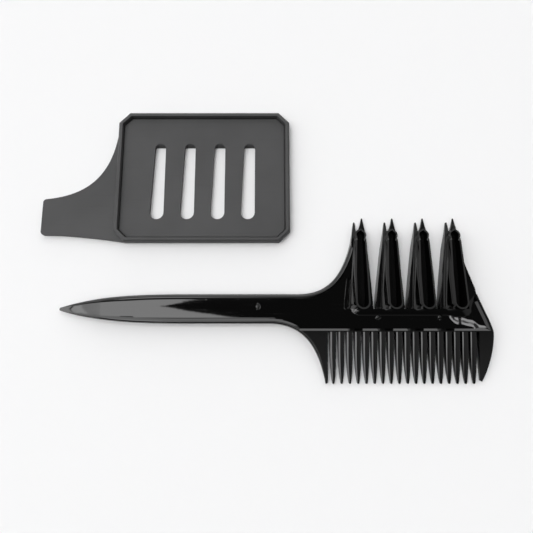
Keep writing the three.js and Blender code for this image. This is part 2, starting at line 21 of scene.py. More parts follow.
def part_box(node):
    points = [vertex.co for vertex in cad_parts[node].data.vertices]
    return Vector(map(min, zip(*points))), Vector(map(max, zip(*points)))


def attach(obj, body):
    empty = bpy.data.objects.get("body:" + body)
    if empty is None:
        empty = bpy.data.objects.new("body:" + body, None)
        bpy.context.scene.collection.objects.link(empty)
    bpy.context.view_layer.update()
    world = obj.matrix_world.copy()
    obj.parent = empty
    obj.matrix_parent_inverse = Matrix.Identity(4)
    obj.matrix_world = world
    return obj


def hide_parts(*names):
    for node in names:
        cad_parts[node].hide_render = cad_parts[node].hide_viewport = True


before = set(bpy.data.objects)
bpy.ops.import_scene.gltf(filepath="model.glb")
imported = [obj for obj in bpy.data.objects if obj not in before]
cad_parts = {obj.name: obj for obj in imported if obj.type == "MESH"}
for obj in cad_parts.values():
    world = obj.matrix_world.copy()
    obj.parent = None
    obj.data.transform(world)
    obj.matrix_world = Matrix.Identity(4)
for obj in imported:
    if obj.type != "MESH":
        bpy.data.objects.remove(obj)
log = logging.getLogger("highlighting_set")

MM = 0.001

Point = tuple[float, float]
Outline = list[Point]


class Slot(Enum):
    """Material slots of the record."""

    GLOSS_BLACK = "gloss_black_plastic"
    SATIN_CHARCOAL = "satin_charcoal_plastic"


class Body(Enum):
    """Bodies of the CAD model."""

    COMB = "comb"
    BOARD = "board"


class Element(Enum):
    """Kinds of mesh element that can be selected."""

    VERT = "VERT"
    EDGE = "EDGE"
    FACE = "FACE"


class Joining(Enum):
    """Ways of working two solids together."""

    CUT = "DIFFERENCE"
    FUSE = "UNION"
    OVERLAP = "INTERSECT"


# ---- Outlines in millimetres ---------------------------------------------------------


def curved(start: Point, first: Point, second: Point, end: Point, steps: int = 14) -> Outline:
    """Points along a cubic curve.

    Args:
        start: First point of the curve.
        first: Control point that the curve leaves towards.
        second: Control point that the curve arrives from.
        end: Last point of the curve.
        steps: How many pieces the curve is divided into.

    Returns:
        The points, both ends included.
    """
    knots = [Vector((x, y, 0)) for x, y in (start, first, second, end)]
    return [(p.x, p.y) for p in interpolate_bezier(*knots, steps + 1)]


def rounded(centre: Point, radius: float, start: float, end: float, steps: int = 8) -> Outline:
    """Points along an arc.

    Args:
        centre: Centre of the arc.
        radius: Radius of the arc.
        start: First angle in degrees.
        end: Last angle in degrees, larger for a counter-clockwise arc.
        steps: How many pieces the arc is divided into.

    Returns:
        The points, both ends included.
    """
    angles = [math.radians(start + (end - start) * i / steps) for i in range(steps + 1)]
    return [(centre[0] + radius * math.cos(a), centre[1] + radius * math.sin(a)) for a in angles]


def beside(run: Sequence[Point], distance: float) -> Outline:
    """The same run of points moved sideways.

    Args:
        run: The points in order.
        distance: How far to the left of the run's direction.

    Returns:
        As many points as the run has.
    """
    moved: Outline = []
    for i, (x, y) in enumerate(run):
        before, after = run[max(i - 1, 0)], run[min(i + 1, len(run) - 1)]
        along = Vector((after[0] - before[0], after[1] - before[1])).normalized()
        moved.append((x - along.y * distance, y + along.x * distance))
    return moved


def ease(value: float) -> float:
    """A smooth step from 0 to 1 for a value that runs from 0 to 1."""
    t = min(max(value, 0.0), 1.0)
    return t * t * (3 - 2 * t)


# ---- Bench: modelling by operators ----------------------------------------------------


def clear_bench() -> None:
    """Deselects everything, so that a new primitive stands alone."""
    if bpy.context.object is not None and bpy.context.object.mode != "OBJECT":
        bpy.ops.object.mode_set(mode="OBJECT")
    bpy.ops.object.select_all(action="DESELECT")


def take(piece: bpy.types.Object) -> None:
    """Makes one piece the only selected and active object.

    Args:
        piece: The piece to take in hand.
    """
    clear_bench()
    piece.select_set(True)
    bpy.context.view_layer.objects.active = piece


def choose(piece: bpy.types.Object, kind: Element, test: Callable[[Vector], bool]) -> int:
    """Opens a piece in edit mode and selects its elements by the place of their points.

    Args:
        piece: The piece to open.
        kind: Whether points, edges or faces are selected.
        test: Says of a point, in millimetres in the comb's axes, whether it belongs.

    Returns:
        How many elements are selected. An edge or face belongs when all its points do.
    """
    take(piece)
    bpy.ops.object.mode_set(mode="EDIT")
    bpy.ops.mesh.select_mode(type=kind.value)
    bpy.ops.mesh.select_all(action="DESELECT")
    mesh = bmesh.from_edit_mesh(piece.data)
    belongs = {v: test(AXES.millimetres(v.co)) for v in mesh.verts}
    if kind is Element.VERT:
        chosen = [v for v in mesh.verts if belongs[v]]
    elif kind is Element.EDGE:
        chosen = [e for e in mesh.edges if all(belongs[v] for v in e.verts)]
    else:
        chosen = [f for f in mesh.faces if all(belongs[v] for v in f.verts)]
    for element in chosen:
        element.select_set(True)
    bmesh.update_edit_mesh(piece.data)
    return len(chosen)


def close_up(piece: bpy.types.Object) -> None:
    """Merges doubles, turns all faces outwards and leaves edit mode.

    Args:
        piece: The piece to close up.
    """
    take(piece)
    bpy.ops.object.mode_set(mode="EDIT")
    bpy.ops.mesh.select_mode(type="VERT")
    bpy.ops.mesh.select_all(action="SELECT")
    bpy.ops.mesh.remove_doubles(threshold=0.002 * MM)
    bpy.ops.mesh.normals_make_consistent(inside=False)
    bpy.ops.object.mode_set(mode="OBJECT")


def raised(
    name: str, bottom: Outline, low: float, high: float, top: Outline | None = None
) -> bpy.types.Object:
    """A piece raised from an outline, straight or towards a second outline.

    Args:
        name: Name of the new piece.
        bottom: Outline at the lower level, counter-clockwise, in the comb's axes.
        low: Lower level in millimetres.
        high: Upper level in millimetres.
        top: Outline at the upper level with as many points, when the walls slope.

    Returns:
        The closed piece.
    """
    clear_bench()
    bpy.ops.mesh.primitive_circle_add(vertices=len(bottom), radius=MM, fill_type="NGON")
    piece = bpy.context.object
    piece.name = name
    places = {}
    for i, (vertex, (x, y)) in enumerate(zip(piece.data.vertices, bottom)):
        vertex.co = AXES.place(x, y, low)
        places[i] = vertex.co.copy()
    bpy.ops.object.mode_set(mode="EDIT")
    bpy.ops.mesh.select_all(action="SELECT")
    bpy.ops.mesh.extrude_region_move(TRANSFORM_OT_translate={"value": (0, 0, (high - low) * MM)})
    bpy.ops.object.mode_set(mode="OBJECT")
    if top is not None:
        middle = AXES.place(0, 0, (low + high) / 2).z
        for vertex in piece.data.vertices:
            if vertex.co.z > middle:
                nearest = min(places, key=lambda i: (places[i].xy - vertex.co.xy).length_squared)
                vertex.co = AXES.place(*top[nearest], high)
    close_up(piece)
    return piece


def combine(piece: bpy.types.Object, tool: bpy.types.Object, joining: Joining = Joining.CUT) -> None:
    """Works a tool piece into another piece and discards the tool.

    Args:
        piece: The piece that is kept.
        tool: The piece that is used up.
        joining: Whether the tool is cut away, fused on, or only the overlap is kept.
    """
    take(piece)
    modifier = piece.modifiers.new("combine", "BOOLEAN")
    modifier.operation = joining.value
    modifier.solver = "EXACT"
    modifier.object = tool
    bpy.ops.object.modifier_apply(modifier=modifier.name)
    bpy.data.objects.remove(tool, do_unlink=True)


def ball(
    name: str, place: Vector, radius: float, stretch: tuple[float, float, float], segments: int = 24
) -> bpy.types.Object:
    """A stretched ball.

    Args:
        name: Name of the new piece.
        place: Its centre in the frame.
        radius: Its radius in millimetres before it is stretched.
        stretch: How much it is stretched along each axis.
        segments: Facets round it.

    Returns:
        The closed piece.
    """
    clear_bench()
    bpy.ops.mesh.primitive_uv_sphere_add(segments=segments, ring_count=12, radius=radius * MM, location=place)
    piece = bpy.context.object
    piece.name = name
    bpy.ops.transform.resize(value=stretch)
    bpy.ops.object.transform_apply(location=True, rotation=True, scale=True)
    return piece


def ease_edges(piece: bpy.types.Object, width: float, segments: int = 2, angle: float = 32) -> None:
    """Rounds every edge sharper than an angle and smooths the shading.

    Args:
        piece: The piece to finish.
        width: Width of the rounding in millimetres.
        segments: Facets across the rounding.
        angle: Least angle between two faces, in degrees, that is rounded.
    """
    take(piece)
    modifier = piece.modifiers.new("ease", "BEVEL")
    modifier.width = width * MM
    modifier.segments = segments
    modifier.limit_method = "ANGLE"
    modifier.angle_limit = math.radians(angle)
    modifier.use_clamp_overlap = True
    bpy.ops.object.modifier_apply(modifier=modifier.name)
    smooth(piece, 38)


def smooth(piece: bpy.types.Object, angle: float) -> None:
    """Smooths the shading below an angle, with broad faces keeping their own direction.

    Args:
        piece: The piece to shade.
        angle: Edges sharper than this, in degrees, stay crisp.
    """
    take(piece)
    bpy.ops.object.shade_smooth_by_angle(angle=math.radians(angle))
    weighted = piece.modifiers.new("broad_faces", "WEIGHTED_NORMAL")
    weighted.weight = 90
    weighted.keep_sharp = True
    bpy.ops.object.modifier_apply(modifier=weighted.name)


def reshape(piece: bpy.types.Object, move: Callable[[Vector], Vector]) -> None:
    """Moves every point of a piece.

    Args:
        piece: The piece to change.
        move: Gives the new place of a point, both in millimetres in the comb's axes.
    """
    for vertex in piece.data.vertices:
        vertex.co = AXES.metres(move(AXES.millimetres(vertex.co)))
    piece.data.update()


def copied(piece: bpy.types.Object, name: str, shift: float) -> bpy.types.Object:
    """A copy with its own mesh, moved along the comb.

    Args:
        piece: The finished piece.
        name: Name of the copy.
        shift: Distance along x in millimetres.

    Returns:
        The copy, its place in its mesh.
    """
    take(piece)
    bpy.ops.object.duplicate(linked=False)
    copy = bpy.context.object
    copy.name = name
    bpy.ops.object.mode_set(mode="EDIT")
    bpy.ops.mesh.select_all(action="SELECT")
    bpy.ops.transform.translate(value=(shift * MM, 0, 0))
    bpy.ops.object.mode_set(mode="OBJECT")
    return copy


# ---- Axes ---------------------------------------------------------------------------------


@dataclass(frozen=True)
class CombAxes:
    """The comb's own axes inside the CAD frame."""

    origin: Vector
    first_tooth_left: float = 2.28

    @classmethod
    def from_frame(cls) -> "CombAxes":
        """Axes whose origin lies on the root line, beside the left guard."""
        low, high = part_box("tooth_01")
        return cls(Vector((low.x - cls.first_tooth_left * MM, high.y, 0)))

    def place(self, x: float, y: float, z: float) -> Vector:
        """Millimetres in the comb's axes as a place in the frame."""
        return self.origin + Vector((x, y, z)) * MM

    def metres(self, point: Vector) -> Vector:
        """A point in millimetres in the comb's axes as a place in the frame."""
        return self.origin + point * MM

    def millimetres(self, place: Vector) -> Vector:
        """A place in the frame as millimetres in the comb's axes."""
        return (place - self.origin) / MM

    def box(self, node: str) -> tuple[Vector, Vector]:
        """Lowest and highest corner of a CAD node, in millimetres in the comb's axes."""
        low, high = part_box(node)
        return self.millimetres(low), self.millimetres(high)


AXES = CombAxes.from_frame()


# ---- Effects and finishes --------------------------------------------------------------


class NodeBench:
    """Places and joins nodes in one tree."""

    def __init__(self, tree: bpy.types.NodeTree) -> None:
        """Starts with an empty tree."""
        self.tree = tree
        tree.nodes.clear()

    def add(self, kind: str, **values: object) -> bpy.types.Node:
        """A new node with some of its properties set.

        Args:
            kind: Blender's name for the kind of node.
            **values: Properties and their values.

        Returns:
            The node.
        """
        node = self.tree.nodes.new(kind)
        for name, value in values.items():
            setattr(node, name, value)
        return node

    def join(self, source: bpy.types.NodeSocket, target: bpy.types.NodeSocket) -> None:
        """A link from an output to an input."""
        self.tree.links.new(source, target)

    def feed(self, value: object, target: bpy.types.NodeSocket) -> None:
        """Gives an input either a link or a fixed value.

        Args:
            value: An output to link, or the value itself.
            target: The input.
        """
        if isinstance(value, bpy.types.NodeSocket):
            self.join(value, target)
        else:
            target.default_value = value

    def noise(self, coords: bpy.types.NodeSocket, scale: object, detail: float = 2.0) -> bpy.types.NodeSocket:
        """A noise pattern.

        Args:
            coords: The coordinates that the pattern lies over.
            scale: How fine it is, as a number or an output.
            detail: How many finer layers it has.

        Returns:
            The pattern's factor.
        """
        node = self.add("ShaderNodeTexNoise")
        node.inputs["Detail"].default_value = detail
        self.join(coords, node.inputs["Vector"])
        self.feed(scale, node.inputs["Scale"])
        return node.outputs["Fac"]

    def maths(self, operation: str, first: object, second: object = 0.0) -> bpy.types.NodeSocket:
        """A sum on outputs or numbers.

        Args:
            operation: Blender's name for the operation.
            first: The first number or output.
            second: The second number or output.

        Returns:
            The result.
        """
        node = self.add("ShaderNodeMath", operation=operation)
        self.feed(first, node.inputs[0])
        self.feed(second, node.inputs[1])
        return node.outputs[0]

    def product(self, values: Sequence[bpy.types.NodeSocket]) -> bpy.types.NodeSocket:
        """All of some outputs multiplied together.

        Args:
            values: The outputs, at least one.

        Returns:
            Their product.
        """
        result = values[0]
        for value in values[1:]:
            result = self.maths("MULTIPLY", result, value)
        return result

    def blend(self, first: object, second: object, share: bpy.types.NodeSocket) -> bpy.types.NodeSocket:
        """A number that goes from one value to another.

        Args:
            first: The value where the share is 0.
            second: The value where the share is 1.
            share: How far it has gone.

        Returns:
            The blended number.
        """
        node = self.add("ShaderNodeMix", data_type="FLOAT")
        for value, place in ((share, 0), (first, 2), (second, 3)):
            self.feed(value, node.inputs[place])
        return node.outputs[0]

    def tinted(self, first: object, second: object, share: bpy.types.NodeSocket) -> bpy.types.NodeSocket:
        """A colour that goes from one to another.

        Args:
            first: The colour where the share is 0, fixed or an output.
            second: The colour where the share is 1, fixed or an output.
            share: How far it has gone.

        Returns:
            The blended colour.
        """
        node = self.add("ShaderNodeMix", data_type="RGBA")
        for label, value in (("Factor", share), ("A", first), ("B", second)):
            self.feed(value, node.inputs[label])
        return node.outputs["Result"]

    def bumped(
        self, height: bpy.types.NodeSocket, depth: float, normal: bpy.types.NodeSocket | None = None
    ) -> bpy.types.NodeSocket:
        """A normal tilted by a height pattern.

        Args:
            height: The pattern.
            depth: Its depth in metres.
            normal: The normal that it starts from, when that is already tilted.

        Returns:
            The tilted normal.
        """
        node = self.add("ShaderNodeBump")
        node.inputs["Distance"].default_value = depth
        self.join(height, node.inputs["Height"])
        if normal is not None:
            self.join(normal, node.inputs["Normal"])
        return node.outputs["Normal"]

    def ranged(
        self,
        value: bpy.types.NodeSocket,
        start: float,
        end: float,
        to_start: float = 0.0,
        to_end: float = 1.0,
    ) -> bpy.types.NodeSocket:
        """A value mapped from one range to another with a smooth start and end.

        Args:
            value: The value.
            start: Where the range starts. It may lie above the end.
            end: Where the range ends.
            to_start: The result at the start.
            to_end: The result at the end.

        Returns:
            The mapped value.
        """
        node = self.add("ShaderNodeMapRange", interpolation_type="SMOOTHSTEP")
        numbers = (start, end, to_start, to_end)
        for label, number in zip(("From Min", "From Max", "To Min", "To Max"), numbers):
            node.inputs[label].default_value = number
        self.join(value, node.inputs["Value"])
        return node.outputs["Result"]


def effect_group(
    name: str, inputs: dict[str, float], outputs: Sequence[str]
) -> tuple[bpy.types.NodeTree, NodeBench, bpy.types.Node, bpy.types.Node]:
    """A shader node group with a coordinate input and named numbers.

    Args:
        name: Name of the group.
        inputs: Number inputs and their starting values.
        outputs: Names of the outputs.

    Returns:
        The group, its bench, its input node and its output node.
    """
    group = bpy.data.node_groups.new(name, "ShaderNodeTree")
    bench = NodeBench(group)
    group.interface.new_socket(name="Place", in_out="INPUT", socket_type="NodeSocketVector")
    for label, value in inputs.items():
        socket = group.interface.new_socket(name=label, in_out="INPUT", socket_type="NodeSocketFloat")
        socket.default_value = value
    for label in outputs:
        group.interface.new_socket(name=label, in_out="OUTPUT", socket_type="NodeSocketFloat")
    return group, bench, bench.add("NodeGroupInput"), bench.add("NodeGroupOutput")


@dataclass(frozen=True)
class EffectShapes:
    """Shapes of the surface patterns."""

    streak_turn: float = 24.0
    streak_squeeze: float = 0.06
    streak_band: tuple[float, float] = (0.52, 0.78)
    speck_choice: tuple[float, float] = (0.955, 0.96)
    speck_edge: tuple[float, float] = (0.12, 0.06)
    mottle_scale: float = 28.0
    mottle_band: tuple[float, float] = (0.3, 0.7)
    flow_softness: float = 0.35


class Effects:
    """Surface effects that both plastics share, each built once."""

    def __init__(self) -> None:
        """Builds the groups."""
        self.shapes = EffectShapes()
        self.flow = self._mould_flow()
        self.scuffs = self._handling_scuffs()
        self.grain = self._mould_grain()

    def _mould_flow(self) -> bpy.types.NodeTree:
        """Slow waves that cooling leaves in a moulded face.

        Returns:
            The effect group.
        """
        group, bench, given, result = effect_group("Mould flow", {"Scale": 40.0, "Stretch": 1.0}, ["Height"])
        stretch = bench.add("ShaderNodeCombineXYZ")
        for axis, value in (("X", 1.0), ("Y", given.outputs["Stretch"]), ("Z", 1.0)):
            bench.feed(value, stretch.inputs[axis])
        scaled = bench.add("ShaderNodeVectorMath", operation="MULTIPLY")
        bench.join(given.outputs["Place"], scaled.inputs[0])
        bench.join(stretch.outputs["Vector"], scaled.inputs[1])
        waves = bench.noise(scaled.outputs["Vector"], given.outputs["Scale"], 1.0)
        waves.node.inputs["Roughness"].default_value = self.shapes.flow_softness
        bench.join(waves, result.inputs["Height"])
        return group

    def _handling_scuffs(self) -> bpy.types.NodeTree:
        """Fine rubbed streaks and dust that dull the gloss a little.

        Returns:
            The effect group.
        """
        names = {"Streak scale": 900.0, "Speck scale": 700.0}
        group, bench, given, result = effect_group("Handling scuffs", names, ["Streaks", "Specks"])
        turned = bench.add("ShaderNodeMapping")
        turned.inputs["Rotation"].default_value = (0, 0, math.radians(self.shapes.streak_turn))
        turned.inputs["Scale"].default_value = (self.shapes.streak_squeeze, 1.0, 1.0)
        bench.join(given.outputs["Place"], turned.inputs["Vector"])
        streak = bench.noise(turned.outputs["Vector"], given.outputs["Streak scale"], 3.0)
        bench.join(bench.ranged(streak, *self.shapes.streak_band), result.inputs["Streaks"])
        speck = bench.add("ShaderNodeTexVoronoi", feature="F1")
        bench.join(given.outputs["Place"], speck.inputs["Vector"])
        bench.join(given.outputs["Speck scale"], speck.inputs["Scale"])
        chance = bench.add("ShaderNodeSeparateColor")
        bench.join(speck.outputs["Color"], chance.inputs["Color"])
        few = bench.ranged(chance.outputs["Red"], *self.shapes.speck_choice)
        dot = bench.ranged(speck.outputs["Distance"], *self.shapes.speck_edge)
        bench.join(bench.product([few, dot]), result.inputs["Specks"])
        return group

    def _mould_grain(self) -> bpy.types.NodeTree:
        """The fine matt texture of a spark-eroded mould.

        Returns:
            The effect group.
        """
        group, bench, given, result = effect_group("Mould grain", {"Scale": 3500.0}, ["Height", "Mottle"])
        bench.join(bench.noise(given.outputs["Place"], given.outputs["Scale"]), result.inputs["Height"])
        slow = bench.noise(given.outputs["Place"], self.shapes.mottle_scale, 3.0)
        bench.join(bench.ranged(slow, *self.shapes.mottle_band), result.inputs["Mottle"])
        return group


@dataclass
class MaterialBench:
    """A new material with its shader, ready to be dressed."""

    name: str

    def __post_init__(self) -> None:
        """Places the shader, its output and the coordinates."""
        self.material = bpy.data.materials.new(self.name)
        self.material.use_nodes = True
        self.bench = NodeBench(self.material.node_tree)
        output = self.bench.add("ShaderNodeOutputMaterial")
        self.shader = self.bench.add("ShaderNodeBsdfPrincipled")
        self.bench.join(self.shader.outputs["BSDF"], output.inputs["Surface"])
        self.coords = self.bench.add("ShaderNodeTexCoord").outputs["Object"]

    def effect(self, group: bpy.types.NodeTree, **values: float) -> bpy.types.bpy_prop_collection:
        """Sets an effect group into the material.

        Args:
            group: The effect group.
            **values: Its inputs, with low lines for spaces, and their values.

        Returns:
            The group's outputs.
        """
        node = self.bench.add("ShaderNodeGroup")
        node.node_tree = group
        self.bench.join(self.coords, node.inputs["Place"])
        for label, value in values.items():
            node.inputs[label.replace("_", " ")].default_value = value
        return node.outputs


Colour = tuple[float, float, float, float]


@dataclass(frozen=True)
class GlossBlack:
    """Polished black plastic of the comb."""

    name: str = "Gloss black plastic"
    colour: Colour = (0.0005, 0.0005, 0.0005, 1.0)
    dust_colour: Colour = (0.02, 0.02, 0.019, 1.0)
    roughness: float = 0.045
    scuffed_roughness: float = 0.13
    wave_depth: float = 0.075 * MM
    ripple_depth: float = 0.004 * MM
    ior: float = 1.55
    specular: float = 0.5

    def material(self, effects: Effects) -> bpy.types.Material:
        """Builds the material.

        Args:
            effects: The shared effect groups.

        Returns:
            The finished material.
        """
        work = MaterialBench(self.name)
        bench, plastic = work.bench, work.shader
        plastic.inputs["IOR"].default_value = self.ior
        plastic.inputs["Specular IOR Level"].default_value = self.specular
        scuffs = work.effect(effects.scuffs, Streak_scale=900.0, Speck_scale=260.0)
        waves = work.effect(effects.flow, Scale=52.0, Stretch=1.6)
        ripple = work.effect(effects.flow, Scale=420.0, Stretch=1.0)
        tint = bench.tinted(self.colour, self.dust_colour, scuffs["Specks"])
        rough = bench.ranged(scuffs["Streaks"], 0.0, 1.0, self.roughness, self.scuffed_roughness)
        slow = bench.bumped(waves["Height"], self.wave_depth)
        bench.join(tint, plastic.inputs["Base Color"])
        bench.join(rough, plastic.inputs["Roughness"])
        bench.join(bench.bumped(ripple["Height"], self.ripple_depth, slow), plastic.inputs["Normal"])
        return work.material


@dataclass(frozen=True)
class SatinCharcoal:
    """Satin dark grey plastic of the board."""

    name: str = "Satin charcoal plastic"
    colour: Colour = (0.052, 0.052, 0.053, 1.0)
    pale: Colour = (0.062, 0.062, 0.063, 1.0)
    dust_colour: Colour = (0.16, 0.16, 0.155, 1.0)
    roughness: float = 0.6
    worn_roughness: float = 0.7
    specular: float = 0.32
    grain_depth: float = 0.012 * MM
    wave_depth: float = 0.03 * MM

    def material(self, effects: Effects) -> bpy.types.Material:
        """Builds the material.

        Args:
            effects: The shared effect groups.

        Returns:
            The finished material.
        """
        work = MaterialBench(self.name)
        bench, plastic = work.bench, work.shader
        plastic.inputs["Specular IOR Level"].default_value = self.specular
        grain = work.effect(effects.grain, Scale=3500.0)
        scuffs = work.effect(effects.scuffs, Streak_scale=700.0, Speck_scale=180.0)
        waves = work.effect(effects.flow, Scale=30.0, Stretch=1.0)
        tint = bench.tinted(self.colour, self.pale, grain["Mottle"])
        dusty = bench.tinted(tint, self.dust_colour, scuffs["Specks"])
        rough = bench.ranged(scuffs["Streaks"], 0.0, 1.0, self.roughness, self.worn_roughness)
        fine = bench.bumped(grain["Height"], self.grain_depth)
        bench.join(dusty, plastic.inputs["Base Color"])
        bench.join(rough, plastic.inputs["Roughness"])
        bench.join(bench.bumped(waves["Height"], self.wave_depth, fine), plastic.inputs["Normal"])
        return work.material


@dataclass(frozen=True)
class PaleTable:
    """Smooth pale sheet that the set lies on."""

    name: str = "Pale sheet"
    colour: Colour = (0.86, 0.86, 0.865, 1.0)
    roughness: float = 0.6
    specular: float = 0.1

    def material(self) -> bpy.types.Material:
        """Builds the material.

        Returns:
            The finished material.
        """
        work = MaterialBench(self.name)
        for label, value in (
            ("Base Color", self.colour),
            ("Roughness", self.roughness),
            ("Specular IOR Level", self.specular),
        ):
            work.shader.inputs[label].default_value = value
        return work.material


@dataclass
class Workshop:
    """Dresses pieces and hands them to the frame."""

    materials: dict[Slot, bpy.types.Material]
    # Duller, less reflective black that paints shade into the rib hollows.
    core: bpy.types.Material
    count: int = 0

    def hand_over(self, piece: bpy.types.Object, body: Body, slot: Slot, nodes: Sequence[str]) -> None:
        """Gives a finished piece its material and its place in the model.

        Args:
            piece: The finished piece.
            body: The body that it rides on.
            slot: The record's slot that its finish comes from.
            nodes: The CAD nodes that it stands for.
        """
        shares = [face.material_index for face in piece.data.polygons]
        piece.data.materials.clear()
        piece.data.materials.append(self.materials[slot])
        # Faces marked 1 take the duller black that paints shade inside the rib hollows.
        if any(shares):
            piece.data.materials.append(self.core)
            for face, share in zip(piece.data.polygons, shares):
                face.material_index = share
        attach(piece, body.value)
        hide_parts(*nodes)
        self.count += 1
        log.info("%s: %d faces for %s", piece.name, len(piece.data.polygons), ", ".join(nodes))


# ---- Comb body ---------------------------------------------------------------------------


@dataclass
class CombBody:
    """Tail handle, neck, spine, shoulder and guards, one seamless moulding.

    Sizes are in millimetres in the comb's axes.
    """

    workshop: Workshop
    rim_width: float = 2.0
    low_rim_width: float = 1.3
    wall_draft: float = 0.7
    low_wall_draft: float = 1.1
    web_depth: float = 0.75
    web_spare: float = 0.45
    foot_spread: float = -0.6
    dish: float = 0.34
    bed_middle: Point = (-27.0, 12.0)
    bed_size: Point = (250.0, 92.0)
    bed_steps: tuple[int, int] = (280, 104)
    sunk_depth: float = 0.42
    sunk_middle: Point = (75.7, 4.3)
    sunk_ramp: float = 4.5
    outer_round: float = 1.9
    lower_share: float = 0.6
    shoulder_share: float = 0.3
    point_length: float = 16.0
    shoulder_rim: float = 1.5
    bar: float = 0.6
    block_front: float = 9.2
    block_draft: float = 1.7
    block_corner: float = 4.2
    block_left: float = 13.3
    taper_length: float = 78.0
    taper_power: float = 3.3
    tail_slope: float = 24.0
    tail_top: float = 1.5
    root_lap: float = 0.6
    marks: tuple[Point, ...] = ((-36.0, 13.4), (27.7, 7.9), (60.5, 7.9))
    mark_radius: float = 1.4
    mark_depth: float = 0.55
    dome_radius: float = 1.05
    dome_flatness: float = 0.35
    horn_fade: float = 9.0
    guard_fade: float = 14.0
    guard_under: Point = (0.3, 0.7)
    guard_tip_z: float = 1.6
    nodes: tuple[str, ...] = ("tail_handle", "neck", "spine", "shoulder", "guard_left", "guard_right")

    def __post_init__(self) -> None:
        """Reads the body's extents from the CAD nodes."""
        tail_low, tail_high = AXES.box("tail_handle")
        self.tip_radius = 0.9
        self.tip_x = tail_low.x + self.tip_radius
        self.axis_y = (tail_low.y + tail_high.y) / 2
        self.half_width = (tail_high.y - tail_low.y) / 2
        self.rim_z = tail_high.z
        self.handle_end = tail_high.x
        guard_low, guard_high = AXES.box("guard_left")
        self.guard_tip = Vector((guard_high.x, guard_low.y))
        right_low, right_high = AXES.box("guard_right")
        self.row_end = right_low.x
        self.right_tip_y = right_low.y
        self.bulge_x = right_high.x
        spine_low, spine_high = AXES.box("spine")
        self.spine_top = spine_high.y
        self.spine_left = spine_low.x
        neck_high = AXES.box("neck")[1]
        self.horn = Vector((15.9, neck_high.y))
        self.shoulder_top = Vector((73.9, 50.0))

    # Outlines

    def half_width_at(self, x: float) -> float:
        """Half width of the spear-shaped tail.

        Args:
            x: Place along the tail.

        Returns:
            Half the tail's width there.
        """
        reach = min((x - self.tip_x) / self.taper_length, 1.0)
        fullness = 1 - (1 - reach) ** self.taper_power
        return self.tip_radius + (self.half_width - self.tip_radius) * fullness

    def tail_run(self, side: int, inset: float, start: float, steps: int = 26) -> Outline:
        """One long edge of the tail from a place near the tip to the neck.

        Args:
            side: 1 for the upper edge, -1 for the lower.
            inset: How far inside the edge the run lies.
            start: Where along the comb the run starts.
            steps: Points along the tapered stretch.

        Returns:
            The run, from the tip towards the neck.
        """
        full = self.tip_x + self.taper_length
        places = [start + (full - start) * (i / steps) ** 1.3 for i in range(steps + 1)]
        slim = [min(self.half_width_at(x) / 7.0, 1.0) for x in places]
        run = [(x, self.axis_y + side * (self.half_width_at(x) - inset * s)) for x, s in zip(places, slim)]
        run.append((-46.0, self.axis_y + side * (self.half_width - inset)))
        run.append((self.handle_end, self.axis_y + side * (self.half_width - inset)))
        return run

    def neck_lower(self) -> Outline:
        """Lower edge of the neck.

        Returns:
            The run, from the handle to the tip of the left guard.
        """
        start = (self.handle_end, self.axis_y - self.half_width)
        tip = (self.guard_tip.x - 1.2, self.guard_tip.y)
        return curved(start, (-13.0, start[1]), (-4.0, -6.0), tip, 22)

    def neck_upper(self) -> Outline:
        """Upper edge of the neck, from the handle to the tip of the horn."""
        top = self.axis_y + self.half_width
        return curved((-14.0, top), (3.5, top + 0.2), (10.6, 32.0), tuple(self.horn), 26)

    def shoulder_run(self) -> Outline:
        """Outer edge of the shoulder, from its widest point to the last prong."""
        start = (self.bulge_x, -0.5)
        return curved(start, (start[0] - 0.8, 7.6), (76.4, 23.0), tuple(self.shoulder_top), 22)

    def guard_run(self) -> Outline:
        """Outer edge of the right guard, from its tip to the shoulder's widest point."""
        tip = (self.row_end + 1.2, self.right_tip_y)
        return curved(tip, (self.row_end + 4.6, -19.7), (self.bulge_x + 0.1, -10.0), (self.bulge_x, -0.5), 16)

    def plan(self) -> Outline:
        """The whole outline except teeth and prongs.

        Returns:
            The outline, counter-clockwise.
        """
        tip = (self.tip_x, self.axis_y)
        lower = self.tail_run(-1, 0, self.tip_x)
        upper = self.tail_run(1, 0, self.tip_x)
        return [
            *lower[:-1],
            *self.neck_lower(),
            (self.guard_tip.x, self.guard_tip.y + 0.6),
            (self.guard_tip.x, 0.0),
            (self.row_end, 0.0),
            (self.row_end, self.right_tip_y + 0.6),
            *self.guard_run(),
            *self.shoulder_run()[1:],
            (76.4, self.spine_top - self.root_lap),
            (self.spine_left + 1.6, self.spine_top - self.root_lap),
            (16.6, self.horn.y - 1.5),
            *reversed(self.neck_upper()),
            *reversed(upper[1:]),
            *rounded(tip, self.tip_radius, 90, 270, 8)[:-1],
        ]

    def web(self, spread: float) -> Outline:
        """The recessed face's outline.

        Args:
            spread: 0 at the bottom of the sloping walls and 1 at their top.

        Returns:
            The outline, counter-clockwise, with the same number of points at any spread.
        """
        rim = self.rim_width + self.wall_draft * (1 - spread)
        low_rim = self.low_rim_width + self.low_wall_draft * (1 - spread)
        bar = self.bar + self.low_wall_draft * (1 - spread)
        front = self.block_front + self.block_draft * spread
        left = self.block_left + 1.3 * spread
        right = 76.6 - 1.3 * spread
        side_rim = self.shoulder_rim + self.wall_draft * (1 - spread)
        radius = self.block_corner
        start = self.tip_x + 7.0
        lower = beside(self.neck_lower(), low_rim)[1:8]
        shoulder = beside(self.shoulder_run(), side_rim)[3:13]
        horn = beside(list(reversed(self.neck_upper())), rim)[11:-1]
        return [
            *self.tail_run(-1, low_rim, start),
            *lower,
            (lower[-1][0] + 1.2, bar),
            (self.bulge_x - side_rim - 0.05, bar),
            *shoulder,
            *rounded((right - radius, front + radius), radius, 0, -90, 8),
            *rounded((left + radius, front + radius), radius, 270, 180, 8),
            (left + 0.3, 23.0),
            (left + 0.5, 27.0),
            *horn,
            *reversed(self.tail_run(1, rim, start)),
            (start - 1.6 - 0.8 * spread, self.axis_y),
        ]

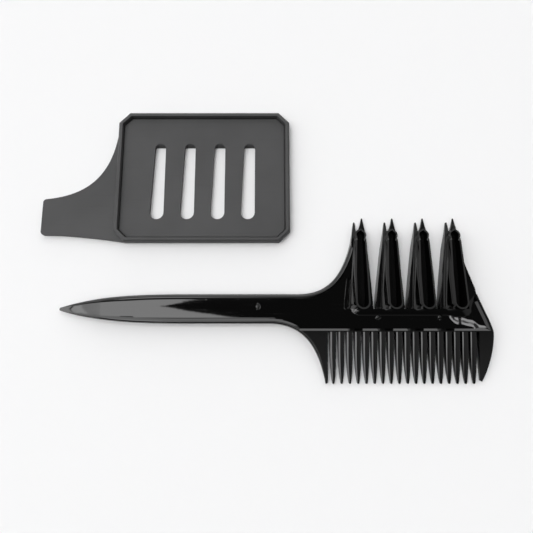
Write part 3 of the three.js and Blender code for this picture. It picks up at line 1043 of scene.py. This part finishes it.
    # Steps of the work

    def rough(self) -> bpy.types.Object:
        """The plate with its outer top edges rounded, the upper ones more.

        Returns:
            The plate.
        """
        plate = raised("comb_body", self.plan(), 0.0, self.rim_z)
        weights = plate.data.attributes.new("bevel_weight_edge", "FLOAT", "EDGE")
        for edge in plate.data.edges:
            ends = [AXES.millimetres(plate.data.vertices[i].co) for i in edge.vertices]
            if min(end.z for end in ends) > self.rim_z / 2:
                weights.data[edge.index].value = self.roundness((ends[0] + ends[1]) / 2)
        take(plate)
        modifier = plate.modifiers.new("round", "BEVEL")
        modifier.width = self.outer_round * MM
        modifier.segments = 5
        modifier.limit_method = "WEIGHT"
        modifier.use_clamp_overlap = False
        bpy.ops.object.modifier_apply(modifier=modifier.name)
        return plate

    def roundness(self, place: Vector) -> float:
        """Share of the full rounding that the top edge has.

        Args:
            place: A place on the edge.

        Returns:
            The share, 0 where the edge stays crisp.
        """
        tail = min((place.x - self.tip_x + self.tip_radius) / self.point_length, 1.0)
        if place.x < self.horn.x - 2 and place.y > self.axis_y + 1:
            return max(tail * min((self.horn.y - place.y) / self.horn_fade, 1.0), 0.0)
        if place.x < self.guard_tip.x - 0.4 and place.y < self.axis_y - 1:
            fade = min((place.y - self.guard_tip.y) / self.guard_fade, 1.0)
            return max(tail * self.lower_share * fade, 0.0)
        if place.x > self.row_end + 0.6 and place.y < self.shoulder_top.y - 1:
            return self.shoulder_share
        return 0.0

    def hollow(self, plate: bpy.types.Object) -> None:
        """Cuts the recessed face with its sloping walls, its dished floor and its ejector marks.

        Args:
            plate: The plate to cut.
        """
        floor = self.rim_z - self.web_depth
        foot = floor - self.web_spare
        cutter = raised("web_cutter", self.web(self.foot_spread), foot, self.rim_z, self.web(1.0))
        lift = raised("web_top", self.web(1.0), self.rim_z - 0.01, self.rim_z + 1.0)
        combine(cutter, lift, Joining.FUSE)
        combine(cutter, self.dished_floor(floor), Joining.OVERLAP)
        combine(plate, cutter)
        for x, y in self.marks:
            bottom = floor - self.mark_depth
            ring = rounded((x, y), self.mark_radius, 0, 345, 23)
            combine(plate, raised("mark", ring, bottom, self.rim_z))
            flat = (1.0, 1.0, self.dome_flatness)
            dome = ball("mark_dome", AXES.place(x, y, bottom), self.dome_radius, flat)
            combine(plate, dome, Joining.FUSE)

    def dished_floor(self, floor: float) -> bpy.types.Object:
        """A block whose underside swells down to the floor of the recess.

        Args:
            floor: Level of the plain floor.

        Returns:
            The block.
        """
        clear_bench()
        middle = AXES.place(*self.bed_middle, floor)
        along, across = self.bed_steps
        bpy.ops.mesh.primitive_grid_add(x_subdivisions=along, y_subdivisions=across, size=MM, location=middle)
        block = bpy.context.object
        bpy.ops.transform.resize(value=(*self.bed_size, 1.0))
        bpy.ops.object.transform_apply(location=True, rotation=True, scale=True)
        for vertex in block.data.vertices:
            point = AXES.millimetres(vertex.co)
            vertex.co.z = (floor - self.depth_at(point.x, point.y)) * MM
        bpy.ops.object.mode_set(mode="EDIT")
        bpy.ops.mesh.select_all(action="SELECT")
        bpy.ops.mesh.extrude_region_move(TRANSFORM_OT_translate={"value": (0, 0, 4.0 * MM)})
        bpy.ops.object.mode_set(mode="OBJECT")
        close_up(block)
        return block

    def depth_at(self, x: float, y: float) -> float:
        """How far the recess swells below its plain floor.

        Args:
            x: Place along the comb.
            y: Place across it.

        Returns:
            The depth below the plain floor.
        """
        if x < self.handle_end:
            width = max(self.half_width_at(x) - 1.4, 0.4)
            across = min(abs(y - self.axis_y) / width, 1.0)
            return self.dish * (1 - across * across) * min(width / 6.0, 1.0)
        fade = 1 - ease((x - self.handle_end) / 26.0)
        across = min(abs(y - self.axis_y) / (self.half_width - 1.4), 1.0)
        ripple = 0.5 * math.sin(x / 2.1) + 0.3 * math.sin(x / 0.9)
        step = 0.32 * (x - self.sunk_middle[0]) + 0.95 * (y - self.sunk_middle[1]) + ripple
        sunk = self.sunk_depth * ease(step / self.sunk_ramp + 0.5) * ease((x - 63.0) / 6.0)
        return self.dish * (1 - across * across) * fade + sunk

    def thin_ends(self, plate: bpy.types.Object) -> None:
        """Slopes the tail, the shoulder and the guards down to their tips.

        Args:
            plate: The plate to slope.
        """
        tip_y = self.guard_tip.y

        def lower(p: Vector) -> Vector:
            """Lowers one point.

            Args:
                p: The point in millimetres.

            Returns:
                Its new place.
            """
            reach = min(max((p.x - self.tip_x + self.tip_radius) / self.tail_slope, 0.0), 1.0)
            level = self.tail_top + (self.rim_z - self.tail_top) * reach
            z = p.z * level / self.rim_z
            if p.x > 60 and p.y > 24:
                z = p.z * (1 - 0.5 * ease((p.y - 24.0) / 26.0))
            if p.y < 0:
                t = min(p.y / tip_y, 1.0)
                top = self.rim_z + (self.guard_tip_z - self.rim_z) * t
                under = self.guard_under[0] + (self.guard_under[1] - self.guard_under[0]) * t
                z = under + (top - under) * p.z / self.rim_z
            return Vector((p.x, p.y, z))

        reshape(plate, lower)

    def build(self) -> None:
        """Makes the body and hands it over."""
        plate = self.rough()
        self.hollow(plate)
        self.thin_ends(plate)
        close_up(plate)
        ease_edges(plate, 0.22, 2, 30)
        self.workshop.hand_over(plate, Body.COMB, Slot.GLOSS_BLACK, self.nodes)


# ---- Fine teeth ----------------------------------------------------------------------------


@dataclass
class ToothRow:
    """The row of fine teeth, one shape repeated."""

    workshop: Workshop
    tip_width: float = 1.1
    taper_power: float = 4.0
    root_depth: float = 0.7
    flank: float = 0.75
    flank_slope: float = 0.55
    foot_spread: float = 0.18
    foot_round: float = 0.3
    root_drop: float = 0.12
    tip_top: float = 1.6
    tip_under: float = 0.7
    root_under: float = 0.3

    def __post_init__(self) -> None:
        """Reads the teeth's number, pitch and size from the CAD nodes."""
        self.names = sorted(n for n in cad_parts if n.startswith("tooth_"))
        low, high = AXES.box(self.names[0])
        self.width = high.x - low.x
        self.length = -low.y
        self.root_z = high.z
        self.centre = (low.x + high.x) / 2
        self.pitch = AXES.box(self.names[1])[0].x - low.x

    def plan(self) -> Outline:
        """Outline of the first tooth, a little of it inside the spine.

        Returns:
            The outline, counter-clockwise.
        """
        half, spare = self.tip_width / 2, (self.width - self.tip_width) / 2
        steps = 12
        end = self.length - half
        right = []
        for i in range(steps + 1):
            reach = (i / steps) ** 0.6
            right.append((self.centre + half + spare * (1 - reach**self.taper_power), -end * reach))
        tip = rounded((self.centre, -end), half, 0, -180, 6)[1:-1]
        left = [(2 * self.centre - x, y) for x, y in reversed(right)]
        root = [(left[-1][0], self.root_depth), (right[0][0], self.root_depth)]
        return list(reversed([*right, *tip, *left, *root]))

    def first(self) -> bpy.types.Object:
        """The first tooth, with broad sloped flanks and a falling top.

        Returns:
            The tooth.
        """
        tooth = raised("tooth_01_moulded", self.plan(), 0.0, self.root_z)
        top = self.root_z - 0.05
        choose(tooth, Element.EDGE, lambda p: p.z > top and p.y < self.root_depth - 0.01)
        bpy.ops.mesh.bevel(offset=self.flank * MM, segments=1, clamp_overlap=False)
        choose(tooth, Element.EDGE, lambda p: p.z < 0.02 and p.y < self.root_depth - 0.01)
        bpy.ops.mesh.bevel(offset=self.foot_round * MM, segments=2, profile=0.5, clamp_overlap=True)
        bpy.ops.object.mode_set(mode="OBJECT")

        def slope(p: Vector) -> Vector:
            """Flattens the flanks, spreads the foot and lowers the top towards the tip.

            Args:
                p: The point in millimetres.

            Returns:
                Its new place.
            """
            t = min(max(-p.y / self.length, 0.0), 1.0)
            high = self.root_z - self.root_drop + (self.tip_top - self.root_z) * t
            under = self.root_under + (self.tip_under - self.root_under) * t
            level = p.z if p.z < self.root_z / 2 else self.root_z - (self.root_z - p.z) * self.flank_slope
            wide = 1 + self.foot_spread * (1 - p.z / self.root_z)
            x = self.centre + (p.x - self.centre) * wide
            return Vector((x, p.y, under + (high - under) * level / self.root_z))

        reshape(tooth, slope)
        close_up(tooth)
        smooth(tooth, 50)
        return tooth

    def build(self) -> None:
        """Makes one tooth, copies it along the row and hands all of them over."""
        first = self.first()
        row = [first]
        for i in range(1, len(self.names)):
            row.append(copied(first, f"{self.names[i]}_moulded", i * self.pitch))
        for tooth, name in zip(row, self.names):
            self.workshop.hand_over(tooth, Body.COMB, Slot.GLOSS_BLACK, [name])


# ---- Prongs ----------------------------------------------------------------------------------


@dataclass
class ProngRow:
    """Four units of plate, grooved tine and hollow rib, one shape repeated.

    Sizes are in millimetres, x measured from the centre of the rib's round end.
    """

    workshop: Workshop
    wall: float = 0.85
    groove_depth: float = 0.75
    root_radius: float = 3.75
    lean: float = 0.8
    neck_y: float = 48.9
    neck_z: float = 8.2
    end_z: float = 7.0
    nub_radius: float = 0.95
    nub_stretch: tuple[float, float, float] = (0.95, 1.25, 1.6)
    nub_reach: float = 2.2
    nub_z: float = 7.0
    spike_thinning: float = 0.6
    tine_drop: float = 0.7
    tine_tip_drop: float = 1.3
    tine_tip_lift: float = 2.5
    root_sink: float = 1.3

    def __post_init__(self) -> None:
        """Reads the units' places and levels from the CAD nodes."""
        self.ribs = sorted(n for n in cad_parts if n.startswith("rib_"))
        low, high = AXES.box(self.ribs[0])
        self.centre = low.x + self.root_radius
        self.pitch = AXES.box(self.ribs[1])[0].x - low.x
        self.rib_top, self.rib_end = high.z, high.y
        self.root_y = AXES.box("spine")[1].y
        self.plate_z = AXES.box("prong_1")[1].z
        self.spike_y = AXES.box("prong_1")[1].y
        self.tine_y = AXES.box("tine_1")[1].y
        self.tine_z = AXES.box("tine_1")[1].z

    def shifted(self, points: Outline) -> Outline:
        """Points about a rib's centre as points in the comb's axes."""
        return [(x + self.centre, y) for x, y in points]

    # Outlines

    def plate_plan(self) -> Outline:
        """Flat plate with its pointed right-hand tip.

        Returns:
            The outline, counter-clockwise.
        """
        root = self.root_y - self.root_sink
        right = curved((7.4, self.root_y + 1), (6.9, 26.0), (5.6, 42.0), (4.75, 52.0), 10)
        spike = curved((4.75, 52.0), (4.7, 55.0), (4.1, 58.0), (3.45, self.spike_y - 0.25), 8)
        left = curved((2.75, self.spike_y - 0.25), (2.2, 60.0), (1.4, 57.0), (0.6, 55.9), 8)
        return self.shifted(
            [
                (-8.2, root),
                (7.4, root),
                *right,
                *spike[1:],
                *left,
                (-1.6, 54.6),
                (-2.6, 51.5),
                (-8.2, self.root_y + 1),
            ]
        )

    def tine_plan(self) -> Outline:
        """Raised left-hand tine with its rounded root.

        Returns:
            The outline, counter-clockwise.
        """
        left = curved((-3.1, 54.2), (-5.0, 42.0), (-7.9, 22.0), (-8.9, 13.9), 14)
        tip_left = curved((-2.2, self.tine_y - 0.3), (-2.5, 58.4), (-2.9, 56.0), (-3.1, 54.2), 6)
        root = rounded((-7.05, 13.4), 1.9, 190, 350, 9)
        right = curved((-5.2, 13.9), (-4.3, 24.0), (-2.4, 40.0), (-1.5, 50.5), 12)
        tip_right = curved((-1.5, 50.5), (-0.6, 54.5), (-1.1, 57.5), (-1.5, self.tine_y - 0.3), 8)
        return self.shifted([*left[:-1], *root, *right[1:], *tip_right[1:], *tip_left[:-1]])

    def groove_plan(self, spread: float) -> Outline:
        """The tine's tapering groove.

        Args:
            spread: How much wider it is on each side.

        Returns:
            The outline, counter-clockwise.
        """
        root = rounded((-7.05, 13.5), 1.05 + spread, 190, 350, 9)
        top = 49.0 + 2 * spread
        right = [(-4.15 + spread, 34.0), (-2.75 + spread, top)]
        left = [(-3.05 - spread, top), (-5.9 - spread, 34.0)]
        return self.shifted([*root, *right, *left])

    def rib_plan(self, grow: float, pinch: float) -> Outline:
        """Keyhole outline of the rib.

        Args:
            grow: How far outside the rib's outer wall the outline lies.
            pinch: How far the neck stands in towards the middle.

        Returns:
            The outline, counter-clockwise.
        """
        lean, neck = self.lean, 2.95 + grow
        eye, radius = (lean, 51.8), 3.05 + grow
        low_left = (-neck + lean, 47.4)
        low_right = (neck + lean, 47.4)
        return self.shifted(
            [
                *rounded((0.0, 15.1), self.root_radius + grow, 180, 360, 18),
                (3.85 + grow * 0.98, 30.0),
                low_right,
                (neck + lean - pinch, self.neck_y),
                *rounded(eye, radius, -32, 58, 9),
                (lean + 0.45, self.rib_end + grow),
                *rounded(eye, radius, 122, 212, 9),
                (-neck + lean + pinch, self.neck_y),
                low_left,
                (-3.35 - grow * 0.98, 30.0),
            ]
        )

    # Pieces

    def plate(self) -> bpy.types.Object:
        """The flat plate, its spike sloping down to the tip.

        Returns:
            The plate.
        """
        plate = raised("prong_1_plate", self.plate_plan(), 0.0, self.plate_z)

        def slope(p: Vector) -> Vector:
            """Thins the spike at one point."""
            t = ease((p.y - 52.0) / (self.spike_y - 52.0))
            return Vector((p.x, p.y, p.z * (1 - self.spike_thinning * t)))

        reshape(plate, slope)
        ease_edges(plate, 0.4, 3, 40)
        return plate

    def tine(self) -> bpy.types.Object:
        """The tine with its rim, groove and pointed tip.

        Returns:
            The tine.
        """
        tine = raised("tine_1_grooved", self.tine_plan(), 0.0, self.tine_z)
        floor = self.tine_z - self.groove_depth
        groove = raised("groove", self.groove_plan(-0.15), floor, self.tine_z + 0.4, self.groove_plan(0.35))
        combine(tine, groove)

        def slope(p: Vector) -> Vector:
            """Lowers the top towards the tip and lifts the tip's underside.

            Args:
                p: The point in millimetres.

            Returns:
                Its new place.
            """
            t = min(max((p.y - self.root_y) / (self.tine_y - self.root_y), 0.0), 1.0)
            high = self.tine_z - self.tine_drop * t - self.tine_tip_drop * ease((p.y - 46.0) / 15.0)
            under = self.tine_tip_lift * ease((p.y - 44.0) / 12.0)
            return Vector((p.x, p.y, under + (high - under) * p.z / self.tine_z))

        reshape(tine, slope)
        ease_edges(tine, 0.28, 3, 35)
        return tine

    def rib(self) -> bpy.types.Object:
        """The hollow rib with its sloping rim, nubs and round eye.

        Returns:
            The rib, its hollow faces marked for the duller black that paints shade inside it.
        """
        base = self.plate_z - 0.2
        rib = raised("rib_1_hollow", self.rib_plan(0.0, 0.1), base, self.rib_top)
        self.slice_top(rib, (11.35, self.rib_top), (self.neck_y, self.neck_z))
        self.slice_top(rib, (self.neck_y, self.neck_z), (self.rib_end, self.end_z))
        hollow = raised("hollow", self.rib_plan(-self.wall, 0.1), self.plate_z + 0.1, self.rib_top + 1)
        for part in (rib, hollow):
            part.data.materials.append(self.workshop.materials[Slot.GLOSS_BLACK])
            part.data.materials.append(self.workshop.core)
        # The hollow's faces take the duller black: painted shade inside the rib.
        for face in hollow.data.polygons:
            face.material_index = 1
        combine(rib, hollow)
        for side in (-1, 1):
            spot = AXES.place(self.centre + self.lean + side * self.nub_reach, self.neck_y, self.nub_z)
            combine(rib, ball("nub", spot, self.nub_radius, self.nub_stretch, 20), Joining.FUSE)
        ease_edges(rib, 0.2, 2, 40)
        return rib

    def slice_top(self, rib: bpy.types.Object, start: tuple[float, float], end: tuple[float, float]) -> None:
        """Slices the rib's top along a slope.

        Args:
            rib: The rib.
            start: Place along y and level where the slope starts, in millimetres.
            end: Place along y and level where it ends.
        """
        take(rib)
        rise, run = end[1] - start[1], end[0] - start[0]
        bpy.ops.object.mode_set(mode="EDIT")
        bpy.ops.mesh.select_all(action="SELECT")
        bpy.ops.mesh.bisect(
            plane_co=AXES.place(self.centre, start[0], start[1]),
            plane_no=Vector((0.0, -rise, run)).normalized(),
            use_fill=True,
            clear_outer=True,
        )
        bpy.ops.object.mode_set(mode="OBJECT")
        close_up(rib)

    def build(self) -> None:
        """Makes one unit, copies it along the row and hands all of them over."""
        makers = {"prong": self.plate, "tine": self.tine, "rib": self.rib}
        words = {"prong": "plate", "tine": "grooved", "rib": "hollow"}
        for part, maker in makers.items():
            first = maker()
            for i in range(len(self.ribs)):
                name = f"{part}_{i + 1}"
                piece = first if i == 0 else copied(first, f"{name}_{words[part]}", i * self.pitch)
                self.workshop.hand_over(piece, Body.COMB, Slot.GLOSS_BLACK, [name])


# ---- Tint board ---------------------------------------------------------------------------------


@dataclass
class TintBoard:
    """Slotted tray with a raised rim, and its grip.

    Sizes are in millimetres.
    """

    workshop: Workshop
    corner: float = 6.0
    rim_width: float = 2.2
    rim_round: float = 0.75
    wall_draft: float = 0.3
    ramp: float = 3.0
    margin_left: float = 23.1
    margin_low: float = 1.9
    foot_radius: float = 3.9
    head_radius: float = 3.1
    slot_foot: float = 15.1
    slot_head: float = 55.7
    slot_lean: float = 0.8
    hood_width: float = 9.0
    hood_gap: float = 0.35
    hood_slant: float = 0.4
    groove_width: float = 0.55
    groove_depth: float = 1.0

    def __post_init__(self) -> None:
        """Reads the board's extents from the CAD nodes."""
        self.low, self.high = AXES.box("board_tray")
        self.grip_low, self.grip_high = AXES.box("board_grip")
        self.floor_z = self.grip_high.z
        rib_low = AXES.box("rib_1")[0]
        self.pitch = AXES.box("rib_2")[0].x - rib_low.x
        self.first_slot = self.low.x + self.margin_left
        self.shift_y = self.low.y + self.margin_low

    def tray_plan(self, inset: float) -> Outline:
        """A rectangle with cut corners.

        Args:
            inset: How far inside the tray's edge it lies.

        Returns:
            The outline, counter-clockwise.
        """
        cut = self.corner - inset * (2 - math.sqrt(2))
        x0, x1 = self.low.x + inset, self.high.x - inset
        y0, y1 = self.low.y + inset, self.high.y - inset
        return [
            (x0 + cut, y0),
            (x1 - cut, y0),
            (x1, y0 + cut),
            (x1, y1 - cut),
            (x1 - cut, y1),
            (x0 + cut, y1),
            (x0, y1 - cut),
            (x0, y0 + cut),
        ]

    def slot_plan(self, x: float) -> Outline:
        """A slot's outline, wide at its foot and narrower at its head.

        Args:
            x: Place of the slot's foot along the board.

        Returns:
            The outline, counter-clockwise.
        """
        y_foot = self.shift_y + self.slot_foot
        y_head = self.shift_y + self.slot_head - self.head_radius
        return [
            *rounded((x, y_foot), self.foot_radius, 180, 360, 18),
            *rounded((x + self.slot_lean, y_head), self.head_radius, 0, 180, 18),
        ]

    def slot_cutter(self, x: float) -> bpy.types.Object:
        """The tool for one slot, with the hood at its head left standing.

        Args:
            x: Place of the slot's foot along the board.

        Returns:
            The tool.
        """
        cutter = raised("slot_cutter", self.slot_plan(x), -1.0, self.floor_z + 1.0)
        head = self.shift_y + self.slot_head
        clear_bench()
        bpy.ops.mesh.primitive_cube_add(size=MM, location=AXES.place(x + self.slot_lean, head, 0.0))
        hood = bpy.context.object
        bpy.ops.transform.resize(value=(self.hood_width, 2 * self.ramp, 2 * (self.floor_z - self.hood_gap)))
        bpy.ops.object.transform_apply(location=True, rotation=True, scale=True)
        for vertex in hood.data.vertices:
            point = AXES.millimetres(vertex.co)
            if point.z > 0 and point.y < head:
                vertex.co = AXES.place(point.x, head - self.hood_slant, point.z)
        combine(cutter, hood)
        return cutter

    def tray(self) -> bpy.types.Object:
        """The tray with its rim, the groove at the rim's foot and the slots.

        Returns:
            The tray.
        """
        tray = raised("tint_tray", self.tray_plan(0.0), 0.0, self.high.z)
        top = self.high.z - 0.05
        choose(tray, Element.EDGE, lambda p: p.z > top)
        bpy.ops.mesh.bevel(offset=self.rim_round * 1.2 * MM, segments=1, profile=0.5, clamp_overlap=False)
        bpy.ops.object.mode_set(mode="OBJECT")
        foot = self.rim_width + self.wall_draft
        mouth = self.tray_plan(self.rim_width)
        combine(tray, raised("recess", self.tray_plan(foot), self.floor_z, self.high.z + 0.02, mouth))
        bed = self.floor_z - self.groove_depth
        groove = raised("groove", self.tray_plan(foot - 0.02), bed, self.floor_z + 0.2)
        island = self.tray_plan(foot + self.groove_width)
        combine(groove, raised("island", island, self.floor_z - 2, self.floor_z + 1))
        combine(tray, groove)
        for i in range(4):
            combine(tray, self.slot_cutter(self.first_slot + i * self.pitch))
        ease_edges(tray, 0.2, 2, 25)
        return tray

    def grip_plan(self) -> Outline:
        """The grip's outline, concave above and gently bowed below.

        Returns:
            The outline, counter-clockwise.
        """
        x0, x1 = self.grip_low.x, self.low.x
        y = self.shift_y
        top = (x1 + 0.3, self.high.y - self.corner - 0.5)
        upper = curved(top, (x1 - 2, y + 39), (x1 - 13, y + 25.5), (x0 + 2, y + 22.8), 26)
        lower = curved((x0 + 4, y + 2.2), (x0 + 14.8, y + 2.2), (x0 + 30.8, y + 0.4), (x1 + 6.0, y - 1.9), 16)
        return [
            *lower,
            (x1 + 1.2, self.low.y + self.corner - 0.4),
            *upper,
            *rounded((x0 + 2, y + 20.8), 2.0, 105, 180, 6),
            *rounded((x0 + 2, y + 4.2), 2.0, 180, 262, 6),
        ]

    def grip(self) -> bpy.types.Object:
        """The grip, a flat plate with eased edges.

        Returns:
            The grip.
        """
        grip = raised("tint_board_grip", self.grip_plan(), 0.0, self.floor_z)
        ease_edges(grip, 0.42, 3, 40)
        return grip

    def build(self) -> None:
        """Makes the tray and the grip and hands them over."""
        self.workshop.hand_over(self.tray(), Body.BOARD, Slot.SATIN_CHARCOAL, ["board_tray"])
        self.workshop.hand_over(self.grip(), Body.BOARD, Slot.SATIN_CHARCOAL, ["board_grip"])


# ---- Studio -----------------------------------------------------------------------------------


class Measure(Enum):
    """What tells one direction from another.

    A level runs from -1 to 1. A lean is the slope away from the vertical.
    """

    LEVEL_X = "level along x"
    LEVEL_Y = "level along y"
    LEVEL_Z = "level along z"
    LEAN_X = "lean along x"
    LEAN_Y = "lean along y"
    WEDGE = "lean along x, less the lean along y"


@dataclass(frozen=True)
class Ramp:
    """A smooth step in brightness along one measure, or along the distance from a value of it."""

    measure: Measure
    none_at: float
    full_at: float
    about: float | None = None


@dataclass(frozen=True)
class Patch:
    """A part of the room with its own brightness, where all its ramps are full."""

    brightness: float
    ramps: tuple[Ramp, ...]


BACK_WALL = Patch(0.8, (Ramp(Measure.LEVEL_Y, 0.12, 0.5),))
BACK_WALL_FOOT = Patch(2.2, (Ramp(Measure.LEVEL_Y, 0.7, 0.9),))
LEFT_WALL = Patch(1.35, (Ramp(Measure.LEVEL_X, -0.3, -0.6),))
PERSON_IN_FRONT = Patch(
    0.05,
    (
        Ramp(Measure.LEVEL_Y, -0.3, -0.5),
        Ramp(Measure.LEVEL_X, 0.7, 0.5, about=0.0),
        Ramp(Measure.LEVEL_Z, 0.16, 0.3),
    ),
)
DARK_OVERHEAD = Patch(
    0.056,
    (
        Ramp(Measure.LEAN_Y, 0.34, 0.26),
        Ramp(Measure.LEAN_Y, -0.3, 0.0),
        Ramp(Measure.LEAN_X, 0.7, 0.5),
        Ramp(Measure.LEAN_X, -0.34, -0.24),
    ),
)
LEFT_WINDOW = Patch(
    3.9,
    (
        Ramp(Measure.WEDGE, -0.225, -0.245),
        Ramp(Measure.LEAN_X, -0.95, -0.6),
        Ramp(Measure.LEAN_Y, 0.5, 0.3, about=0.0),
    ),
)
RIGHT_WINDOW = Patch(
    5.5,
    (
        Ramp(Measure.LEAN_X, 0.42, 0.46),
        Ramp(Measure.LEAN_X, 0.7, 0.62),
        Ramp(Measure.LEAN_Y, 0.09, 0.05, about=0.24),
    ),
)


@dataclass(frozen=True)
class Room:
    """Soft light from all round, given as brightness over direction."""

    walls: float = 0.34
    patches: tuple[Patch, ...] = (
        BACK_WALL,
        BACK_WALL_FOOT,
        LEFT_WALL,
        PERSON_IN_FRONT,
        DARK_OVERHEAD,
        LEFT_WINDOW,
        RIGHT_WINDOW,
    )
    ripple: float = 0.035
    ripple_scale: float = 9.0
    wedge_middle: float = 0.04
    wedge_slope: float = 0.9

    def measures(self, bench: NodeBench) -> dict[Measure, bpy.types.NodeSocket]:
        """Builds the measures of a direction.

        Args:
            bench: Bench on the world's tree.

        Returns:
            An output for each measure.
        """
        direction = bench.add("ShaderNodeTexCoord").outputs["Generated"]
        levels = bench.add("ShaderNodeSeparateXYZ")
        bench.join(direction, levels.inputs["Vector"])
        x, y, z = levels.outputs
        up = bench.maths("MAXIMUM", z, 0.02)
        noise = bench.maths("SUBTRACT", bench.noise(direction, self.ripple_scale), 0.5)
        wave = bench.maths("MULTIPLY", noise, 2 * self.ripple)
        lean_x, lean_y = (bench.maths("ADD", bench.maths("DIVIDE", level, up), wave) for level in (x, y))
        aside = self.distance(bench, lean_y, self.wedge_middle)
        wedge = bench.maths("ADD", lean_x, bench.maths("MULTIPLY", aside, -self.wedge_slope))
        return dict(zip(Measure, (x, y, z, lean_x, lean_y, wedge)))

    def distance(self, bench: NodeBench, value: bpy.types.NodeSocket, about: float) -> bpy.types.NodeSocket:
        """How far a value is from a fixed one."""
        return bench.maths("ABSOLUTE", bench.maths("SUBTRACT", value, about))

    def strength(self, bench: NodeBench) -> bpy.types.NodeSocket:
        """Builds the brightness, each patch laid over those before it.

        Args:
            bench: Bench on the world's tree.

        Returns:
            The brightness in each direction.
        """
        measures = self.measures(bench)
        level = self.walls
        for patch in self.patches:
            shares = []
            for ramp in patch.ramps:
                value = measures[ramp.measure]
                if ramp.about is not None:
                    value = self.distance(bench, value, ramp.about)
                shares.append(bench.ranged(value, ramp.none_at, ramp.full_at))
            level = bench.blend(level, patch.brightness, bench.product(shares))
        return level


@dataclass
class Studio:
    """Pale sheet, soft lights and the camera above the table.

    Places are in metres in the frame.
    """

    camera_place: tuple[float, float, float] = (0.002733, -0.05615, 0.2435)
    camera_tilt: float = 10.0
    focal_share: float = 450 / 533
    sheet_size: float = 6.0
    bank_place: tuple[float, float, float] = (-0.85, 0.05, 0.75)
    bank_size: float = 0.3
    bank_power: float = 0.6

    def sheet(self) -> bpy.types.Object:
        """The sheet under the set.

        Returns:
            The sheet.
        """
        clear_bench()
        bpy.ops.mesh.primitive_plane_add(size=self.sheet_size, location=(0, 0, -0.0002))
        sheet = bpy.context.object
        sheet.name = "pale_sheet"
        bpy.ops.object.transform_apply(location=True, rotation=True, scale=True)
        sheet.data.materials.append(PaleTable().material())
        return sheet

    def bank(self) -> None:
        """A soft light bank in front of the bright window on the left."""
        place = Vector(self.bank_place)
        turn = place.to_track_quat("Z", "Y").to_euler()
        bpy.ops.object.light_add(type="AREA", location=place, rotation=turn)
        light = bpy.context.object
        light.name = "left_bank"
        light.data.size = self.bank_size
        light.data.energy = self.bank_power

    def room(self) -> None:
        """The light from all round."""
        world = bpy.data.worlds.new("Room")
        bpy.context.scene.world = world
        world.use_nodes = True
        bench = NodeBench(world.node_tree)
        output = bench.add("ShaderNodeOutputWorld")
        background = bench.add("ShaderNodeBackground")
        background.inputs["Color"].default_value = (1, 1, 1, 1)
        bench.join(Room().strength(bench), background.inputs["Strength"])
        bench.join(background.outputs["Background"], output.inputs["Surface"])

    def camera(self) -> None:
        """The camera, nearly straight above the set."""
        bpy.ops.object.camera_add(location=self.camera_place, rotation=(math.radians(self.camera_tilt), 0, 0))
        camera = bpy.context.object
        camera.data.sensor_width = 36.0
        camera.data.lens = 36.0 * self.focal_share
        camera.data.clip_start = 0.01
        bpy.context.scene.camera = camera

    def build(self) -> None:
        """Sets up the sheet, lights, room and camera."""
        self.sheet()
        clear_bench()
        self.bank()
        self.room()
        self.camera()
        bpy.context.scene.view_settings.view_transform = "Standard"


# ---- Main ---------------------------------------------------------------------------------------


def main() -> None:
    """Builds every piece and the studio."""
    logging.basicConfig(level=logging.INFO, format="%(message)s")
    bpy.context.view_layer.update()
    effects = Effects()
    materials = {
        Slot.GLOSS_BLACK: GlossBlack().material(effects),
        Slot.SATIN_CHARCOAL: SatinCharcoal().material(effects),
    }
    # Painted shade: a duller, less reflective black for the inside of the rib hollows, so that they render as
    # dark as deep shade.
    core = GlossBlack("Black plastic, painted shade in hollows", roughness=0.55, scuffed_roughness=0.65, specular=0.08)
    workshop = Workshop(materials, core.material(effects))
    CombBody(workshop).build()
    ToothRow(workshop).build()
    ProngRow(workshop).build()
    TintBoard(workshop).build()
    Studio().build()
    log.info("%d pieces in all", workshop.count)


if __name__ == "__main__":
    main()
